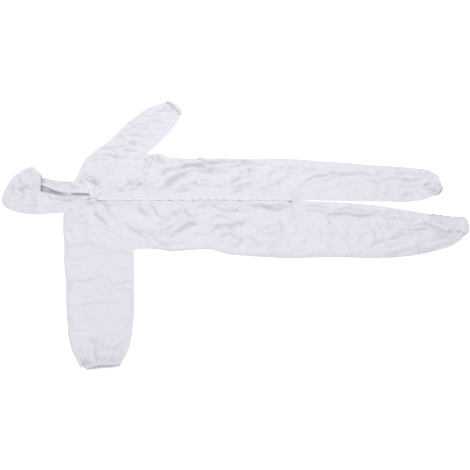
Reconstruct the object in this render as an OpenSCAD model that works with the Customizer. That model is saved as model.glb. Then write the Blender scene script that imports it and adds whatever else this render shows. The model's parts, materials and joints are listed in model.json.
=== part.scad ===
// Hooded one-piece coverall of thin white polyester, closed by a front zip under a
// storm flap. It lies flat on its back: head towards -X, feet towards +X, the wearer's
// right side towards -Y, and the floor at z = 0. Each panel is a thin plate, and the
// front panels carry the side walls that hold the two layers apart.

/* [Body] */
// Height of the laid front panels above the floor
suit_h = 24; // [22:1:30]
// Thickness of a cloth panel with its lining of trapped air
cloth = 2; // [1.6:0.1:2.4]
// Half of the back neck's width
neck_half = 108; // [100:1:114]
// Middle of the neck, across the suit
neck_y = 44; // [36:1:52]
// Where the neck seam lies along the suit
neck_x = -700; // [-704:1:-696]
// Where the waist seam lies along the suit
waist_x = -125; // [-140:1:-110]
// Where the crotch lies along the suit
crotch_x = 279; // [274:1:282]

/* [Sleeves] */
// Radius of a sleeve's round head
arm_r = 134; // [128:1:136]
// Length of the right sleeve from the middle of its head
right_arm_l = 568; // [540:1:580]
// Direction in which the right sleeve lies
right_arm_dir = -80.3; // [-84:0.1:-78]
// Direction in which the left sleeve lies
left_arm_dir = 62; // [60:0.1:66]
// Half of the right cuff's width
cuff_half = 57; // [50:1:62]

/* [Legs] */
// Radius of the right leg's round head
right_leg_r = 160; // [154:1:162]
// Radius of the left leg's round head
left_leg_r = 158; // [152:1:160]
// Length of the right leg from the middle of its head to the ankle
right_leg_l = 680; // [660:1:690]
// Direction in which the left leg lies
left_leg_dir = -5.8; // [-7:0.1:-5]
// Clearance all round a sleeve's or leg's head
joint_gap = 1; // [0.6:0.1:1.4]

/* [Hood] */
// Height of the crown above the floor
crown_h = 62; // [56:1:70]
// Where the brow hem lies along the suit
brow_x = -862; // [-866:1:-858]
// Reach of the crown beyond the origin
crown_reach = 965; // [962:1:968]

/* [Zip] */
// Line of the zip across the suit
zip_y = 10; // [8:1:12]
// Top end of the zip
zip_top = -590; // [-594:1:-586]
// Bottom end of the zip tapes
zip_bottom = 240; // [236:1:244]
// Half of the opening between the front panels
zip_half_slot = 8; // [7:0.5:9]
// Width of one coil, and of the gap between the two
coil_w = 2; // [1.6:0.1:2.2]
// Length of the slider
slider_l = 14; // [12:0.5:16]
// Length of the pull tab
pull_l = 34; // [28:1:38]

/* [Storm flap] */
// Edge of the flap that lies free
flap_free_y = -12; // [-14:1:-10]
// Edge of the flap by its seam
flap_sewn_y = 28.5; // [28:0.1:28.6]
// Line about which the flap opens
flap_hinge_y = 32; // [32:0.1:32.4]

/* [Elastics] */
// Thickness of an elastic band
band_t = 1.2; // [1:0.1:1.4]
// Width of the waist and face elastics
band_w = 12; // [10:1:14]
// Width of a cuff or ankle elastic
ring_w = 14; // [12:1:16]

/* [Hidden] */
$fn = 96;

// Middles of the round heads about which the sleeves and legs swing
right_arm_at = [-512, -300];
left_arm_at = [-545, 340];
right_leg_at = [285, -158];
left_leg_at = [285, 172];

front_z = suit_h - cloth;  // underside of the front panels
tape_t = 0.8;              // thickness of the zip tapes, which lie under the panel edges
coil_h = 2;                // height of the coils
coil_z = front_z - tape_t / 2 - coil_h / 2;
run = 0.4;                 // running clearance round the zip's moving parts
plate_t = 1.4;             // thickness of the slider's plates and of the pull tab
pin_r = 0.8;               // cross pin of the slider's bail
pin_at = [zip_top + 11, coil_z + coil_h + run + plate_t + 2.2];
stop_l = 6;                // length of the bottom stop
flap_z = suit_h + 5.2;     // underside of the storm flap
flap_t = 1.5;
far = 1200;                // larger than the suit

// A point on a circle
function on_circle(at, r, angle) = at + r * [cos(angle), sin(angle)];

// Left-hand unit normal of the step from a to b
function side_of(a, b) = let (d = (b - a) / norm(b - a)) [-d[1], d[0]];

// Moves each point of an open line sideways by t, keeping its corners sharp
function shifted(line, t) = [
    for (i = [0 : len(line) - 1])
        let (
            n1 = side_of(line[max(i - 1, 0)], line[max(i, 1)]),
            n2 = side_of(line[min(i, len(line) - 2)], line[min(i + 1, len(line) - 1)])
        )
        line[i] + t * (n1 + n2) / (1 + n1 * n2)
];

// Closed outline of a wall that follows a line on its left-hand side
function wall_of(line, t) = concat(line, [for (i = [len(line) - 1 : -1 : 0]) shifted(line, t)[i]]);

// Side edges of the torso, from the armpits past the waist to the hips
right_side = [on_circle(right_arm_at, arm_r, 46), [-330, -290], [waist_x, -282],
    [100, -322], [196, -322], on_circle(right_leg_at, right_leg_r, 251)];
left_side = [on_circle(left_leg_at, left_leg_r, 106), [196, 331], [100, 331],
    [waist_x, 322], [-210, 332], [-330, 322], [-378, 298], on_circle(left_arm_at, arm_r, -46)];
// Shoulder edges, from each armhole up to the neck
right_shoulder = [[neck_x, neck_y - neck_half], on_circle(right_arm_at, arm_r, 158)];
left_shoulder = [on_circle(left_arm_at, arm_r, 201), [neck_x + 14, neck_y + neck_half + 14],
    [neck_x, neck_y + neck_half]];
torso_outline = concat(right_shoulder, [right_arm_at], right_side, [right_leg_at],
    [[crotch_x, 3], [crotch_x - 12, 14]], [left_leg_at], left_side, [left_arm_at], left_shoulder);

// Sides of each sleeve and leg, along its own axis: first the side on the right of its
// direction, then the side on the left
right_arm_a = [[0, -arm_r], [130, -123], [260, -118], [400, -106], [490, -94], [right_arm_l, -cuff_half]];
right_arm_b = [[0, arm_r], [130, 123], [260, 118], [400, 106], [490, 94], [right_arm_l, cuff_half]];
left_arm_a = [[0, -arm_r], [100, -118], [220, -108], [340, -88], [440, -66], [480, -58]];
left_arm_b = [[0, arm_r], [150, 130], [300, 130], [440, 124], [516, 104], [556, 82]];
right_leg_a = [[0, -right_leg_r], [165, -166], [428, -157], [557, -112], [right_leg_l, -44]];
right_leg_b = [[0, right_leg_r], [210, 160], [415, 126], [571, 80], [right_leg_l, 56]];
left_leg_a = [[0, -left_leg_r], [100, -147], [228, -132], [538, -98], [602, -86]];
left_leg_b = [[0, left_leg_r], [240, 155], [466, 153], [560, 140], [632, 30]];

// Outline of the hood, from the right side of the neck round the crown
hood_neck_x = neck_x - joint_gap;
hood_right_edge = [[-crown_reach, 8], [-948, -34], [-905, -62], [-840, -72], [-770, -70],
    [hood_neck_x, neck_y - neck_half]];
hood_left_edge = [[hood_neck_x, neck_y + neck_half], [-835, 165], [-858, 200], [-884, 246],
    [-908, 262], [-930, 250], [-950, 190], [-crown_reach, 100], [-crown_reach, 8]];
hood_outline = concat(hood_right_edge, hood_left_edge);

// The opening for the face and, below it, the opening that the zip closes
face_slot = [[brow_x - 6, 67], [hood_neck_x + 5, 34], [hood_neck_x + 5, 62], [brow_x - 6, 97]];
front_slot = [[neck_x - 5, 34], [zip_top, zip_y - zip_half_slot],
    [zip_bottom, zip_y - zip_half_slot], [zip_bottom, zip_y + zip_half_slot],
    [zip_top, zip_y + zip_half_slot], [neck_x - 5, 62]];

// A flat piece between two heights
module slab(z0, z1) {
    translate([0, 0, z0]) linear_extrude(z1 - z0) children();
}

// Everything between two places along the suit, on one side of a line across it
module block(x0, x1, y0, y1) {
    translate([x0, y0, -5]) cube([x1 - x0, y1 - y0, 100]);
}

// Room for the round heads of the sleeves and legs
module head_room() {
    for (head = [[right_arm_at, arm_r], [left_arm_at, arm_r],
            [right_leg_at, right_leg_r], [left_leg_at, left_leg_r]])
        translate([head[0][0], head[0][1], -5])
            cylinder(r = head[1] + joint_gap, h = 100);
}

// Both front layers of the torso with their side walls
module torso_front() {
    difference() {
        union() {
            slab(front_z, suit_h) polygon(torso_outline);
            for (edge = [right_side, left_side, right_shoulder, left_shoulder])
                slab(cloth, suit_h) polygon(wall_of(edge, cloth));
        }
        head_room();
        slab(-5, 100) polygon(front_slot);
    }
}

module torso_back() {
    difference() {
        slab(0, cloth) polygon(torso_outline);
        head_room();
    }
}

// One side of the line that runs down the front opening from the neck to the waist
module beside_zip(side) {
    slab(-5, 100)
        polygon([[-far, 48], [neck_x, 48], [zip_top, zip_y], [waist_x, zip_y],
            [waist_x, side * far], [-far, side * far]]);
}

module bodice_front_right() {
    color("ghostwhite")
        intersection() {
            torso_front();
            beside_zip(-1);
        }
}

module bodice_front_left() {
    color("whitesmoke")
        intersection() {
            torso_front();
            beside_zip(1);
        }
}

module bodice_back() {
    color("gainsboro")
        intersection() {
            torso_back();
            block(-far, waist_x, -far, far);
        }
}

module seat_front_right() {
    color("ghostwhite")
        intersection() {
            torso_front();
            block(waist_x, far, -far, zip_y);
        }
}

module seat_front_left() {
    color("whitesmoke")
        intersection() {
            torso_front();
            block(waist_x, far, zip_y, far);
        }
}

module seat_back_right() {
    color("gainsboro")
        intersection() {
            torso_back();
            block(waist_x, far, -far, zip_y);
        }
}

module seat_back_left() {
    color("lightgray")
        intersection() {
            torso_back();
            block(waist_x, far, zip_y, far);
        }
}

// Elastic sewn inside the waist seam, open at the front where the zip passes
module waist_elastic() {
    inner = cloth + band_t;
    y0 = -276;
    y1 = 316;
    color("white")
        difference() {
            translate([waist_x - band_w / 2, y0, cloth])
                cube([band_w, y1 - y0, front_z - cloth]);
            translate([waist_x - band_w, y0 + band_t, inner])
                cube([2 * band_w, y1 - y0 - 2 * band_t, front_z - band_t - inner]);
            translate([waist_x - band_w, zip_y - 24, inner])
                cube([2 * band_w, 48, suit_h]);
        }
}

// One tape under the edge of a front panel; side is -1 for the right and 1 for the left
module zip_tape(side) {
    edge = coil_w * 1.5;
    translate([zip_top - 4, zip_y + (side > 0 ? edge : -edge - 13), front_z - tape_t])
        cube([zip_bottom - zip_top + 4, 13, tape_t]);
}

module zip_tape_right() {
    color("lavender") zip_tape(-1);
}

module zip_tape_left() {
    color("lavender") zip_tape(1);
}

// One row of coils, as its outer shape
module zip_coil(side) {
    translate([zip_top, zip_y + side * coil_w - coil_w / 2, coil_z])
        cube([zip_bottom - 8 - stop_l - zip_top, coil_w, coil_h]);
}

module zip_coil_right() {
    color("white") zip_coil(-1);
}

module zip_coil_left() {
    color("white") zip_coil(1);
}

module zip_top_stops() {
    color("silver")
        for (side = [-1, 1])
            translate([zip_top - 4, zip_y + side * coil_w - coil_w / 2, coil_z - run / 2])
                cube([4, coil_w, coil_h + run]);
}

module zip_bottom_stop() {
    color("silver")
        translate([zip_bottom - 8 - stop_l, zip_y - coil_w * 1.5, coil_z - run / 2])
            cube([stop_l, coil_w * 3, coil_h + run]);
}

// Two plates joined by a post between the coils, with a bail on top for the pull tab
module zip_slider() {
    half_w = 5.5;
    low_z = coil_z - run - plate_t;
    top_z = coil_z + coil_h + run;
    color("silver")
        translate([pin_at[0], zip_y, 0]) {
            for (z = [low_z, top_z])
                translate([-slider_l / 2, -half_w, z]) cube([slider_l, 2 * half_w, plate_t]);
            translate([-slider_l / 2 + 2, -(coil_w / 2 - run), low_z])
                cube([5, coil_w - 2 * run, top_z - low_z + plate_t]);
            for (side = [-1, 1])
                translate([-2, side * 4.2 - 0.7, top_z]) cube([4, 1.4, pin_at[1] + 1.6 - top_z]);
            translate([0, 0, pin_at[1]]) rotate([90, 0, 0])
                cylinder(r = pin_r, h = 2 * 4.9, center = true);
        }
}

// Flat tab that lies towards the head, and whose eye turns on the slider's pin
module zip_pull_tab() {
    half_w = 3;
    eye_r = 1.7;
    color("gainsboro")
        translate([pin_at[0], zip_y, pin_at[1]])
            difference() {
                union() {
                    rotate([90, 0, 0]) cylinder(r = eye_r, h = 2 * half_w, center = true);
                    translate([half_w - pull_l, -half_w, -plate_t / 2])
                        cube([pull_l - half_w, 2 * half_w, plate_t]);
                    translate([half_w - pull_l, 0, -plate_t / 2]) cylinder(r = half_w, h = plate_t);
                }
                rotate([90, 0, 0]) cylinder(r = pin_r + 0.1, h = 20, center = true);
            }
}

// Strip of cloth that lies over the zip, with its top corner rounded off
module storm_flap() {
    corner_r = 14;
    x0 = zip_top + 18;
    x1 = zip_bottom + 8;
    color("ghostwhite")
        slab(flap_z, flap_z + flap_t)
            union() {
                translate([x0 + corner_r, flap_free_y])
                    square([x1 - x0 - corner_r, flap_sewn_y - flap_free_y]);
                translate([x0, flap_free_y + corner_r])
                    square([corner_r, flap_sewn_y - flap_free_y - corner_r]);
                translate([x0 + corner_r, flap_free_y + corner_r]) circle(r = corner_r);
            }
}

// The flap's folded seam, which stands on the left front panels
module flap_seam_strip() {
    color("white")
        translate([zip_top + 18, flap_hinge_y - 2, suit_h])
            cube([zip_bottom - 10 - zip_top, 4, flap_z - 0.5 - suit_h]);
}

// Front panel of a sleeve or leg: round head, plate and two side walls
module limb_front(r, side_a, side_b) {
    union() {
        slab(front_z, suit_h) {
            circle(r = r);
            polygon(concat(side_a, [for (i = [len(side_b) - 1 : -1 : 0]) side_b[i]]));
        }
        slab(cloth, suit_h) {
            polygon(wall_of(side_a, cloth));
            polygon(wall_of(side_b, -cloth));
        }
    }
}

module limb_back(r, side_a, side_b) {
    slab(0, cloth) {
        circle(r = r);
        polygon(concat(side_a, [for (i = [len(side_b) - 1 : -1 : 0]) side_b[i]]));
    }
}

// Flat open ring of elastic inside the end of a sleeve or leg
module end_ring(side_a, side_b) {
    a = side_a[len(side_a) - 1];
    b = side_b[len(side_b) - 1];
    span = norm(b - a);
    inset = cloth + 1;
    translate([a[0], a[1], cloth]) rotate([0, 0, atan2(b[1] - a[1], b[0] - a[0])])
        difference() {
            translate([inset, 0, 0]) cube([span - 2 * inset, ring_w, front_z - cloth]);
            translate([inset + band_t, -1, band_t])
                cube([span - 2 * (inset + band_t), ring_w + 2, front_z - cloth - 2 * band_t]);
        }
}

// Puts a sleeve or leg at its place and in its direction
module placed(at, direction) {
    translate([at[0], at[1], 0]) rotate([0, 0, direction]) children();
}

module right_sleeve_front() {
    color("ghostwhite")
        placed(right_arm_at, right_arm_dir) limb_front(arm_r, right_arm_a, right_arm_b);
}

module right_sleeve_back() {
    color("gainsboro")
        placed(right_arm_at, right_arm_dir) limb_back(arm_r, right_arm_a, right_arm_b);
}

module right_cuff_elastic() {
    color("white")
        placed(right_arm_at, right_arm_dir) end_ring(right_arm_a, right_arm_b);
}

module left_sleeve_front() {
    color("ghostwhite")
        placed(left_arm_at, left_arm_dir) limb_front(arm_r, left_arm_a, left_arm_b);
}

module left_sleeve_back() {
    color("gainsboro")
        placed(left_arm_at, left_arm_dir) limb_back(arm_r, left_arm_a, left_arm_b);
}

module left_cuff_elastic() {
    color("white")
        placed(left_arm_at, left_arm_dir) end_ring(left_arm_a, left_arm_b);
}

module right_leg_front() {
    color("ghostwhite")
        placed(right_leg_at, 0) limb_front(right_leg_r, right_leg_a, right_leg_b);
}

module right_leg_back() {
    color("gainsboro")
        placed(right_leg_at, 0) limb_back(right_leg_r, right_leg_a, right_leg_b);
}

module right_ankle_elastic() {
    color("white")
        placed(right_leg_at, 0) end_ring(right_leg_a, right_leg_b);
}

module left_leg_front() {
    color("ghostwhite")
        placed(left_leg_at, left_leg_dir) limb_front(left_leg_r, left_leg_a, left_leg_b);
}

module left_leg_back() {
    color("gainsboro")
        placed(left_leg_at, left_leg_dir) limb_back(left_leg_r, left_leg_a, left_leg_b);
}

module left_ankle_elastic() {
    color("white")
        placed(left_leg_at, left_leg_dir) end_ring(left_leg_a, left_leg_b);
}

// Space between two heights below the hood's roof, which rises from the neck to the crown
module under_roof(drop_top, drop_bottom) {
    slope = [[hood_neck_x + 5, suit_h], [brow_x, crown_h], [-far, crown_h]];
    translate([0, far, 0]) rotate([90, 0, 0])
        linear_extrude(2 * far)
            polygon(concat([for (p = slope) p - [0, drop_top]],
                [for (i = [2 : -1 : 0]) slope[i] - [0, drop_bottom]]));
}

// Roof and side walls of the hood, with the face opening cut out
module hood_shell() {
    difference() {
        union() {
            intersection() {
                slab(0, crown_h) polygon(hood_outline);
                under_roof(0, cloth);
            }
            intersection() {
                slab(cloth, crown_h) {
                    polygon(wall_of(hood_right_edge, cloth));
                    polygon(wall_of(hood_left_edge, cloth));
                }
                under_roof(0, crown_h);
            }
        }
        slab(-5, 100) polygon(face_slot);
    }
}

// Line of the face opening, along which the side panels part
module beside_face(side) {
    slab(-5, 100)
        polygon([[brow_x, 81], [far, 81 - (far - brow_x) * 0.205],
            [far, side * far], [brow_x, side * far]]);
}

module hood_right_panel() {
    color("ghostwhite")
        intersection() {
            hood_shell();
            beside_face(-1);
        }
}

module hood_left_panel() {
    color("whitesmoke")
        intersection() {
            hood_shell();
            beside_face(1);
        }
}

// Middle panel, from the brow over the crown and down the back of the head
module hood_crown_panel() {
    color("gainsboro")
        union() {
            slab(0, cloth) polygon(hood_outline);
            intersection() {
                hood_shell();
                block(-far, brow_x, -far, far);
            }
        }
}

// Elastic under the hem of the face opening
module hood_face_elastic() {
    reach = 10;
    outer = [[brow_x - reach, 66 - reach], [hood_neck_x, 34 - reach],
        [hood_neck_x, 62 + reach], [brow_x - reach, 96 + reach]];
    color("white")
        difference() {
            intersection() {
                slab(0, 100) polygon(outer);
                under_roof(cloth, cloth + band_t);
            }
            slab(-5, 100) polygon(face_slot);
        }
}

bodice_front_right();
bodice_front_left();
bodice_back();
seat_front_right();
seat_front_left();
seat_back_right();
seat_back_left();
waist_elastic();
zip_tape_right();
zip_tape_left();
zip_coil_right();
zip_coil_left();
zip_top_stops();
zip_bottom_stop();
zip_slider();
zip_pull_tab();
storm_flap();
flap_seam_strip();
right_sleeve_front();
right_sleeve_back();
right_cuff_elastic();
left_sleeve_front();
left_sleeve_back();
left_cuff_elastic();
right_leg_front();
right_leg_back();
right_ankle_elastic();
left_leg_front();
left_leg_back();
left_ankle_elastic();
hood_right_panel();
hood_left_panel();
hood_crown_panel();
hood_face_elastic();
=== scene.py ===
# A white hooded work suit of thin striped polyester, laid on its back with the arms out.
# X runs from the hood to the ankles, Y from the suit's right side to its left, Z up. Sizes in metres.
import bmesh
import bpy
import json
import math
import numpy as np
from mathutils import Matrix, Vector, noise
from mathutils.geometry import delaunay_2d_cdt
from mathutils.kdtree import KDTree

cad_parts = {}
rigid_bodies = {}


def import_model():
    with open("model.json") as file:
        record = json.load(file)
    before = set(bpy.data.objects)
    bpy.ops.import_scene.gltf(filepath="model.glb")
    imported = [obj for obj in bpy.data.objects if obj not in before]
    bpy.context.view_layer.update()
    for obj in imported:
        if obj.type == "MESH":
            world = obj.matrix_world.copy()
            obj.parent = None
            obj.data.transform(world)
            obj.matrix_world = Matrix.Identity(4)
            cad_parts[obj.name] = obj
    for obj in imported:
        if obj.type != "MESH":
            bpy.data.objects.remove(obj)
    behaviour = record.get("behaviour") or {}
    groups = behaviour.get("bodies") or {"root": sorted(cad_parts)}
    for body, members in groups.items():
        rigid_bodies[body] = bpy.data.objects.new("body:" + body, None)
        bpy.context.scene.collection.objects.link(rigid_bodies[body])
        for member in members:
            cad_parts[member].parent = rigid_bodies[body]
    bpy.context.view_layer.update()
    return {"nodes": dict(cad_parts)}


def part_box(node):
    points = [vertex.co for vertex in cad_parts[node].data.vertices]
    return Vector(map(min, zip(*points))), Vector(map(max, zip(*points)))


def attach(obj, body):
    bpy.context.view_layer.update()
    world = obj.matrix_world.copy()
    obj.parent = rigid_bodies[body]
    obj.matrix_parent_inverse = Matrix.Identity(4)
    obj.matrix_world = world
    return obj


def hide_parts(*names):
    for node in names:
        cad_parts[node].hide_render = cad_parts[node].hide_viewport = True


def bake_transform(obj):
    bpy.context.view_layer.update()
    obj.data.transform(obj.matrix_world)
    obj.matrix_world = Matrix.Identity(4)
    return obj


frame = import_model()


# ---- Table, lights and camera
# A wide white table that glows a little, so that it stays clean white round the suit.
# One broad lamp stands behind the suit's left side, and a weak one fills from the front.
class Shade:
    """A shader socket that takes arithmetic, so that an expression adds its Math nodes."""

    def __init__(self, tree, socket):
        self.tree = tree
        self.socket = socket

    def node(self, kind, settings=None, result=0, **values):
        """Adds a node with its settings, then the values or links of its sockets."""
        made = self.tree.nodes.new("ShaderNode" + kind)
        for key, value in (settings or {}).items():
            setattr(made, key, value)
        for key, value in values.items():
            place = int(key[1:]) if key[0] == "i" and key[1:].isdigit() else key.replace("_", " ")
            socket = made.inputs[place]
            if isinstance(value, Shade):
                self.tree.links.new(value.socket, socket)
            elif value is not None:
                socket.default_value = value
        return Shade(self.tree, made.outputs[result])

    def sum_with(self, operation, first, second=None):
        return self.node("Math", {"operation": operation}, i0=first, i1=second)

    def mix(self, first, second):
        """A colour between two, this shade being the share of the second."""
        return self.node("Mix", {"data_type": "RGBA"}, result=2, i0=self, i6=first, i7=second)

    def fade(self, none, full):
        """Runs smoothly from 0 to 1 between two values of this shade."""
        return self.node("MapRange", {"interpolation_type": "SMOOTHSTEP"}, i0=self,
                         i1=none, i2=full, i3=0.0, i4=1.0)

    def __add__(self, other):
        return self.sum_with("ADD", self, other)

    def __radd__(self, other):
        return self.sum_with("ADD", other, self)

    def __sub__(self, other):
        return self.sum_with("SUBTRACT", self, other)

    def __rsub__(self, other):
        return self.sum_with("SUBTRACT", other, self)

    def __mul__(self, other):
        return self.sum_with("MULTIPLY", self, other)

    def __rmul__(self, other):
        return self.sum_with("MULTIPLY", other, self)

    def __truediv__(self, other):
        return self.sum_with("DIVIDE", self, other)

    def __mod__(self, other):
        return self.sum_with("FLOORED_MODULO", self, other)

    def __abs__(self):
        return self.sum_with("ABSOLUTE", self)


def new_finish(name):
    """A material with its Principled shader, and a Shade to start its expressions from."""
    finish = bpy.data.materials.new(name)
    finish.use_nodes = True
    surface = finish.node_tree.nodes["Principled BSDF"]
    return finish, surface, Shade(finish.node_tree, surface.outputs[0])


def feed(surface, **values):
    """Sets or links the named sockets of a Principled shader."""
    for key, value in values.items():
        socket = surface.inputs[key.replace("_", " ")]
        if isinstance(value, Shade):
            value.tree.links.new(value.socket, socket)
        else:
            socket.default_value = value


def mesh_piece(name, verts, faces, *finishes):
    """A smooth-shaded mesh object at the origin."""
    mesh = bpy.data.meshes.new(name)
    mesh.from_pydata([tuple(v) for v in verts], [], [tuple(f) for f in faces])
    mesh.update()
    mesh.shade_smooth()
    for finish in finishes:
        mesh.materials.append(finish)
    piece = bpy.data.objects.new(name, mesh)
    bpy.context.scene.collection.objects.link(piece)
    return piece


white_table, surface, start = new_finish("white_table")
mottle = start.node("TexNoise", Vector=start.node("TexCoord", result=3), Scale=3.0, Detail=2.0)
feed(surface, Base_Color=(0.93, 0.93, 0.935, 1), Roughness=0.55 + mottle * 0.1)
surface.inputs["Emission Color"].default_value = (1, 1, 1, 1)
surface.inputs["Emission Strength"].default_value = 0.42
table_half = 40.0
table_corners = [(-table_half, -table_half, 0), (table_half, -table_half, 0),
                 (table_half, table_half, 0), (-table_half, table_half, 0)]
mesh_piece("table", table_corners, [(0, 1, 2, 3)], white_table)


def lamp(name, place, side, watts):
    """A square soft lamp that faces the suit's middle."""
    light = bpy.data.lights.new(name, "AREA")
    light.size = side
    light.energy = watts
    holder = bpy.data.objects.new(name, light)
    holder.location = place
    holder.rotation_euler = Vector(place).to_track_quat("Z", "Y").to_euler()
    bpy.context.scene.collection.objects.link(holder)


lamp("back_lamp", (-0.1, 1.2, 2.7), 1.2, 36)
lamp("front_lamp", (-0.6, -2.2, 2.8), 2.4, 15)
room = bpy.data.worlds.new("room")
room.use_nodes = True
room.node_tree.nodes["Background"].inputs["Color"].default_value = (0.97, 0.98, 1, 1)
room.node_tree.nodes["Background"].inputs["Strength"].default_value = 0.70
bpy.context.scene.world = room
bpy.context.scene.view_settings.view_transform = "Standard"

lens = bpy.data.cameras.new("camera")
lens.lens = 48.5
camera = bpy.data.objects.new("camera", lens)
camera.location = (0.0088, -2.120, 1.641)
camera.rotation_euler = (math.radians(49.45), 0, 0)
bpy.context.scene.collection.objects.link(camera)
bpy.context.scene.camera = camera


# ---- The suit's cloth
# Thin, close-woven white polyester with a cool cast and a soft sheen. A dark conductive thread runs
# lengthwise every 5 mm, and the cloth keeps fine creases from its packing.
def suit_cloth(name):
    """The cloth, with its pattern on the panel's own flat layout: u along the stripes, v across."""
    finish, surface, start = new_finish(name)
    flat = start.node("UVMap", {"uv_map": "layout"})
    crosswise = start.node("SeparateXYZ", result=1, Vector=flat)
    stripe_gap = 0.005
    from_stripe = abs((crosswise / stripe_gap) % 1.0 - 0.5)
    stripe = from_stripe.fade(0.10, 0.0)
    yarn = start.node("TexWave", {"wave_type": "BANDS"}, Vector=flat, Scale=260.0, Distortion=0.6)
    pick = start.node("TexWave", {"wave_type": "BANDS", "bands_direction": "Y"}, Vector=flat,
                      Scale=260.0, Distortion=0.6)
    weave = yarn * pick
    mottle = start.node("TexNoise", Vector=flat, Scale=9.0, Detail=3.0)
    drift = start.node("TexNoise", result=1, Vector=flat, Scale=14.0, Detail=2.0)
    drifted = start.node("VectorMath", {"operation": "ADD"}, i0=flat, i1=drift)
    crease = start.node("TexVoronoi", {"feature": "DISTANCE_TO_EDGE"}, Scale=26.0, Vector=drifted)
    pressed = crease.fade(0.0, 0.12)
    crumple = start.node("TexNoise", Vector=flat, Scale=34.0, Detail=4.0, Roughness=0.55)
    ground = mottle.mix((0.71, 0.715, 0.765, 1), (0.75, 0.75, 0.795, 1))
    threaded = (stripe * 0.42).mix(ground, (0.50, 0.51, 0.58, 1))
    relief = pressed * 0.25 + crumple * 0.9 + weave * 0.05
    bump = start.node("Bump", Strength=0.35, Distance=0.0022, Height=relief)
    feed(surface, Base_Color=threaded, Roughness=0.52 + mottle * 0.12, Normal=bump)
    surface.inputs["Sheen Weight"].default_value = 0.12
    surface.inputs["Sheen Roughness"].default_value = 0.4
    surface.inputs["Specular IOR Level"].default_value = 0.42
    return finish


outer_cloth = suit_cloth("suit_cloth")


# ---- The front layer: patterns laid out, sewn and let settle
# Every front panel meets its neighbours in seams, so the front is cut as one flat layout, held along
# its folds, hems and the zip, and let settle on the layer below; the panels are parted afterwards.
def length_along(line):
    """Length from the start of a line to each of its points."""
    return np.r_[0, np.cumsum(np.linalg.norm(np.diff(line, axis=0), axis=1))]


def at_stops(stops, run, line):
    """Places on a line at some lengths along it."""
    return np.stack([np.interp(stops, run, line[:, i]) for i in range(line.shape[1])], 1)


def flat_tree(points):
    """A look-up of the nearest of some points, by their place in the flat."""
    tree = KDTree(len(points))
    for i, p in enumerate(points):
        tree.insert((p[0], p[1], 0), i)
    tree.balance()
    return tree


def along(points, step):
    """Evenly spaced points on a smooth line through the given ones, ends included.

    A height is kept only where both ends of a stretch have one, and at the points that give it.
    """
    knots = np.array([p if len(p) == 3 else (p[0], p[1], 0.0) for p in points], float)
    padded = np.vstack([2 * knots[0] - knots[1], knots, 2 * knots[-1] - knots[-2]])
    t = np.linspace(0, 1, 24, endpoint=False)[:, None]
    parts = []
    for a, b, c, d in zip(padded, padded[1:], padded[2:], padded[3:]):
        parts.append(0.5 * (2 * b + (c - a) * t + (2 * a - 5 * b + 4 * c - d) * t ** 2
                            + (3 * b - a - 3 * c + d) * t ** 3))
    stretches = []
    for part, knot in zip(parts, knots[1:]):
        part = np.vstack([part, knot])
        run = length_along(part[:, :2])
        stops = np.linspace(0, run[-1], max(1, round(run[-1] / step)) + 1)[:-1]
        stretch = at_stops(stops, run, part)
        if part[0, 2] == 0 or knot[2] == 0:
            stretch[1:, 2] = 0
        stretches.append(stretch)
    return np.vstack(stretches + [knots[-1:]])


def inside(points, outline):
    """Which of the points lie within a closed outline."""
    x, y = points[:, 0], points[:, 1]
    within = np.zeros(len(points), bool)
    for (ax, ay), (bx, by) in zip(outline[:, :2], np.roll(outline[:, :2], -1, axis=0)):
        if ay != by:
            crossed = (ay > y) != (by > y)
            within ^= crossed & (x < (bx - ax) * (y - ay) / (by - ay) + ax)
    return within


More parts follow.
